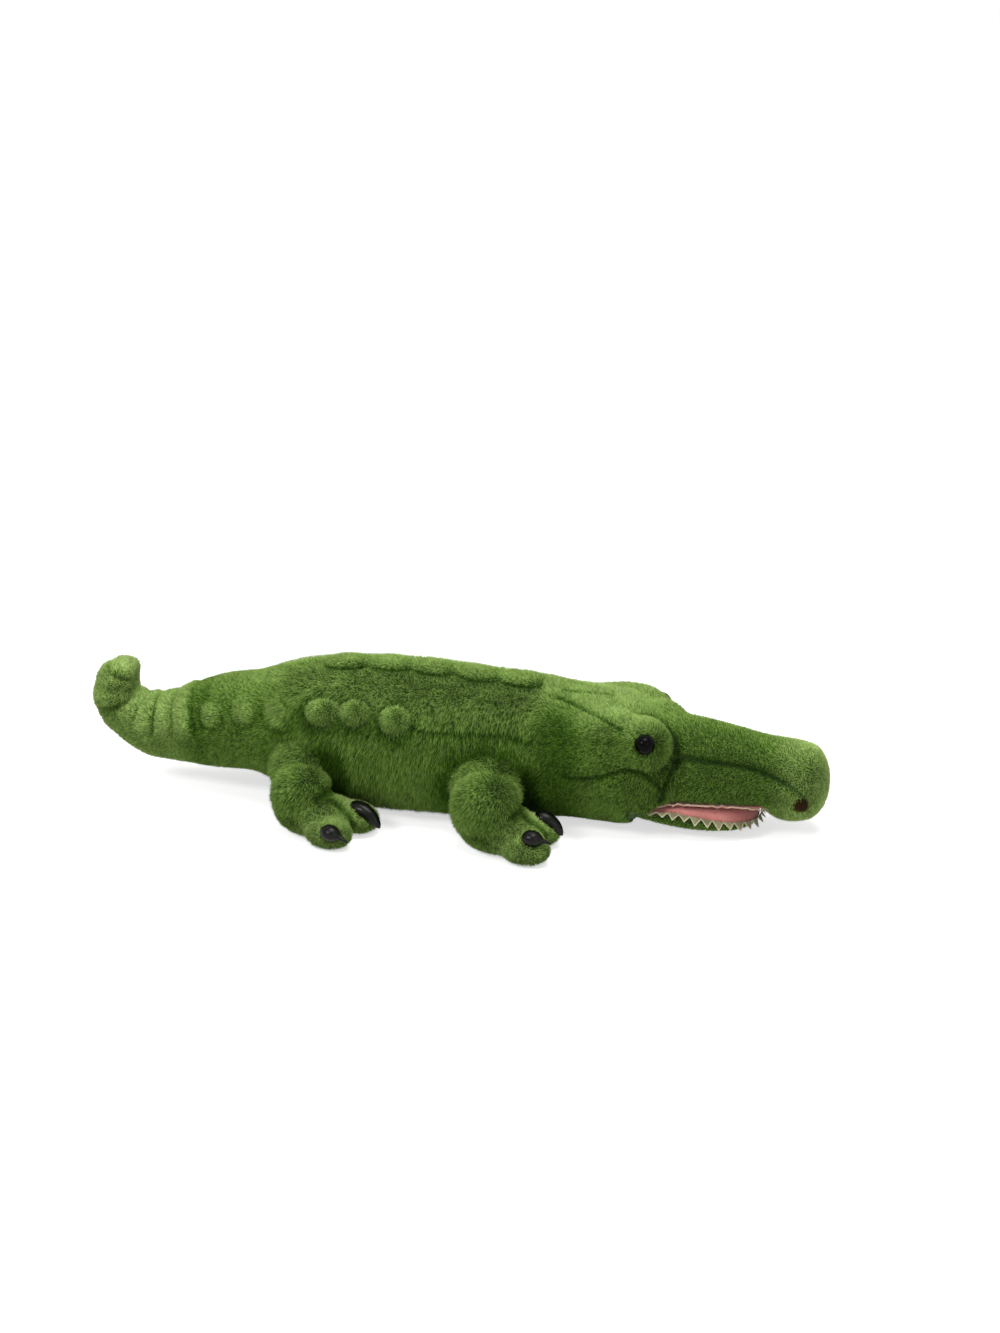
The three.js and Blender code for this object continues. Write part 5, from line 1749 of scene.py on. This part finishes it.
@dataclass
class Studio:
    """A pale floor, soft light and the camera where the photographer stood."""

    azimuth: float = 11.46
    elevation: float = 21.4
    distance: float = 3.363
    middle: Point = (0.0, 0.0, 0.055)
    aside: float = 0.0356
    above: float = 0.0647
    lens: float = 109.17
    floor_half: float = 6.0
    floor_glow: float = 0.62
    surround: float = 0.35
    lamps_look_at: Point = (0.0, 0.0, 0.05)
    lamps: tuple[tuple[str, Point, float, float], ...] = (
        ("key", (-1.3, -1.9, 1.9), 0.7, 36),
        ("top", (0.3, -0.3, 2.4), 1.4, 48),
        ("fill", (2.0, -2.0, 1.2), 1.6, 12),
    )

    def aim(self, made: Object, place: Vector, towards: Vector) -> None:
        """Puts a camera or lamp in its place, looking in a direction."""
        made.location = place
        made.rotation_mode = "QUATERNION"
        made.rotation_quaternion = towards.to_track_quat("-Z", "Y")

    def camera(self) -> None:
        """The camera."""
        a, e = math.radians(self.azimuth), math.radians(self.elevation)
        right = Vector((math.cos(a), math.sin(a), 0))
        back = Vector((math.sin(a) * math.cos(e), -math.cos(a) * math.cos(e), math.sin(e)))
        data = bpy.data.cameras.new("camera")
        data.lens, data.clip_end = self.lens, 50
        camera = placed("camera", data)
        shift = right * self.aside + back.cross(right) * self.above
        self.aim(camera, Vector(self.middle) + back * self.distance + shift, -back)
        bpy.context.scene.camera = camera

    def light(self) -> None:
        """Soft square lamps that look at the toy, by place, side and power in watts."""
        for name, place, size, power in self.lamps:
            data = bpy.data.lights.new(name, "AREA")
            data.size, data.energy = size, power
            self.aim(placed(name, data), Vector(place), Vector(self.lamps_look_at) - Vector(place))

    def floor(self) -> None:
        """The floor, white to the camera and with the toy's shadow on it."""
        mesh = bpy.data.meshes.new("floor")
        half = self.floor_half
        corners = [(-half, -half, 0), (half, -half, 0), (half, half, 0), (-half, half, 0)]
        mesh.from_pydata(corners, [], [(0, 1, 2, 3)])
        material = bpy.data.materials.new("floor")
        material.use_nodes = True
        graph = Graph(material.node_tree)
        graph.tree.nodes.clear()
        paint = graph.node("ShaderNodeBsdfDiffuse", {"Color": (0.8, 0.8, 0.8, 1)}).outputs[0]
        strength = graph.math("MULTIPLY", graph.seen(), self.floor_glow)
        glow = graph.node("ShaderNodeEmission", {"Strength": strength}).outputs[0]
        both = graph.node("ShaderNodeAddShader", {0: paint, 1: glow}).outputs[0]
        graph.node("ShaderNodeOutputMaterial", {"Surface": both})
        mesh.materials.append(material)
        placed("floor", mesh)

    def world(self) -> None:
        """A white surround that lights the toy gently."""
        world = bpy.data.worlds.new("world")
        bpy.context.scene.world = world
        world.use_nodes = True
        graph = Graph(world.node_tree)
        background = next(n for n in graph.tree.nodes if n.type == "BACKGROUND")
        strength = graph.span(graph.seen(), self.surround, 1.0)
        graph.feed(background, {"Color": (1, 1, 1, 1), "Strength": strength})

    def build(self) -> None:
        """Everything that isn't the toy."""
        self.camera()
        self.floor()
        self.world()
        self.light()
        bpy.context.scene.view_settings.view_transform = "Standard"


class Toy:
    """The whole crocodile."""

    def __init__(self) -> None:
        """Makes the shared finishes and the loom."""
        self.loom = Loom()
        self.pile = PileFinish("pile").build()
        self.backing = BackingFinish("backing").build()
        self.felt = ClothFinish("felt", (92, 92, 62), (132, 128, 94), cut_edge=(200, 190, 164)).build()
        self.lip = ClothFinish("lip", (150, 116, 96), (196, 170, 146)).build()
        self.velour = ClothFinish("velour", (160, 98, 92), (186, 120, 112), 700.0).build()
        self.dark_cloth = ClothFinish("nostril", (20, 12, 4), (44, 28, 12), 800.0, 0.1, 0.001).build()
        brown = ((16, 10, 2), (52, 34, 12), (84, 58, 26), (120, 92, 50))
        self.dark_pile = PileFinish("nostril_pile", *brown).build()
        self.gloss = PlasticFinish("eye_gloss", (2, 2, 2), (6, 6, 5), 0.04, 0.045).build()
        self.horn = PlasticFinish("claw_gloss", (5, 6, 4), (15, 17, 10), 0.24, 0.14).build()
        self.washer = PlasticFinish("washer", (170, 168, 160), (196, 194, 186), 0.4).build()

    def dress(
        self,
        skin: Skin,
        name: str,
        cloth: str,
        nodes: tuple[str, ...],
        slot: Slot,
        size: PileSize = PileSize(),
        body: str = "",
    ) -> tuple[Object, Object]:
        """The pile and the padded cloth of one skin.

        Args:
            skin: The skin and its fields.
            name: The start of both names.
            cloth: The end of the cloth's name.
            nodes: The CAD nodes that the cloth stands for.
            slot: The record's slot.
            size: How the pile is grown.
            body: The body that both ride on, if they don't bend between two.

        Returns:
            Both pieces.
        """
        mesh = mesh_of(skin.shape, skin.fields)
        tufts = self.loom.grow(mesh.copy(), f"{name}_pile", self.pile, slot, size, body)
        return tufts, piece(mesh, f"{name}_{cloth}", self.backing, nodes, body)

    def back(self, trunk: Trunk, bare: BVHTree) -> None:
        """The scalloped band and the flank puffs."""
        skin, slot, size = BackStrip().skin(bare), Slot.SHORT_PILE, PileSize(amount=1.6)
        for part in self.dress(skin, "back_strip", "band", ("back_strip",), slot, size):
            trunk.bend(part)
        right, size = FlankPuffs().skin(bare), PileSize(amount=1.6, lock_lean=0.3)
        for side, sign in SIDES:
            name, skin = f"flank_puffs_{side}", right if sign < 0 else right.mirrored()
            self.dress(skin, name, "domes", (name,), slot, size, Body.TORSO.value)

    def leg(self, leg: Leg, right: Skin, side: str, sign: int) -> None:
        """One leg with its claws, on the side of the sign."""
        name = f"{leg.name}_{side}"
        skin = right if sign < 0 else right.mirrored()
        nodes = (f"{name}_skin", f"{name}_foot", f"{name}_stuffing")
        parts = self.dress(skin, name, "sleeve", nodes, Slot.LONG_PILE, PileSize(amount=1.4))
        for part in parts:
            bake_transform(part)
        for i, (claw, bulb) in enumerate(zip(leg.claws, leg.bulbs())):
            shape = claw.shape(leg.forward, leg.across, bulb)
            mesh = mesh_of(shape if sign < 0 else shape.mirrored())
            node = f"{name}_claw_{i + 1}"
            piece(mesh, f"{node}_horn", self.horn, (node,), body=name)

    def mouth(self) -> None:
        """The lower jaw with its lining and teeth."""
        jaw, body = Jaw(), Body.JAW.value
        nodes = ("jaw_skin", "jaw_stuffing")
        self.dress(jaw.skin(), "jaw", "skin_cloth", nodes, Slot.SHORT_PILE, body=body)
        piece(mesh_of(jaw.pillow()), "mouth_lining", self.velour, ("mouth_floor",), body)
        strip, edge = jaw.teeth()
        mesh = mesh_of(strip, {"edge": edge}, smooth=False)
        piece(mesh, "felt_teeth", self.felt, ("tooth_strip",), body=body)

    def face(self, bare: BVHTree) -> None:
        """The eyes, the nostrils, the palate and the lip trim."""
        body, size = Body.HEAD.value, PileSize(root=0.3, lean=0.5)
        for side, sign in SIDES:
            skin, name = Nostril().skin(sign, bare), f"nostril_{side}"
            mesh = mesh_of(skin.shape, skin.fields)
            self.loom.grow(mesh.copy(), f"{name}_fuzz", self.dark_pile, Slot.NOSTRIL, size, body)
            piece(mesh, f"{name}_patch", self.dark_cloth, (name,), body=body)
            ball, name = mesh_of(Eye().shape(sign)), f"eye_{side}"
            piece(ball, f"{name}_ball", self.gloss, (name,), body=body)
        lip = Lip()
        pad = mesh_of(lip.palate(), smooth=False)
        piece(pad, "palate_cloth", self.velour, ("palate_lining",), body=body)
        piece(mesh_of(lip.trim()), "upper_lip_trim", self.lip, ("lip_trim",), body=body)

    def washers(self) -> None:
        """The CAD's washers, which stay, with a better finish."""
        for node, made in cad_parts.items():
            if "washer" in node:
                made.data.materials.clear()
                made.data.materials.append(self.washer)
                log.info("%s stays", node)

    def build(self) -> None:
        """Every piece of the toy."""
        trunk = Trunk()
        bare, dressed = trunk.build(self.loom, self.backing, self.pile)
        self.back(trunk, bare)
        for leg in LEGS:
            right = leg.skin(dressed)
            for side, sign in SIDES:
                self.leg(leg, right, side, sign)
        self.mouth()
        self.face(bare)
        self.washers()


def main() -> None:
    """Builds the stage and the toy."""
    Studio().build()
    Toy().build()


if __name__ == "__main__":
    main()
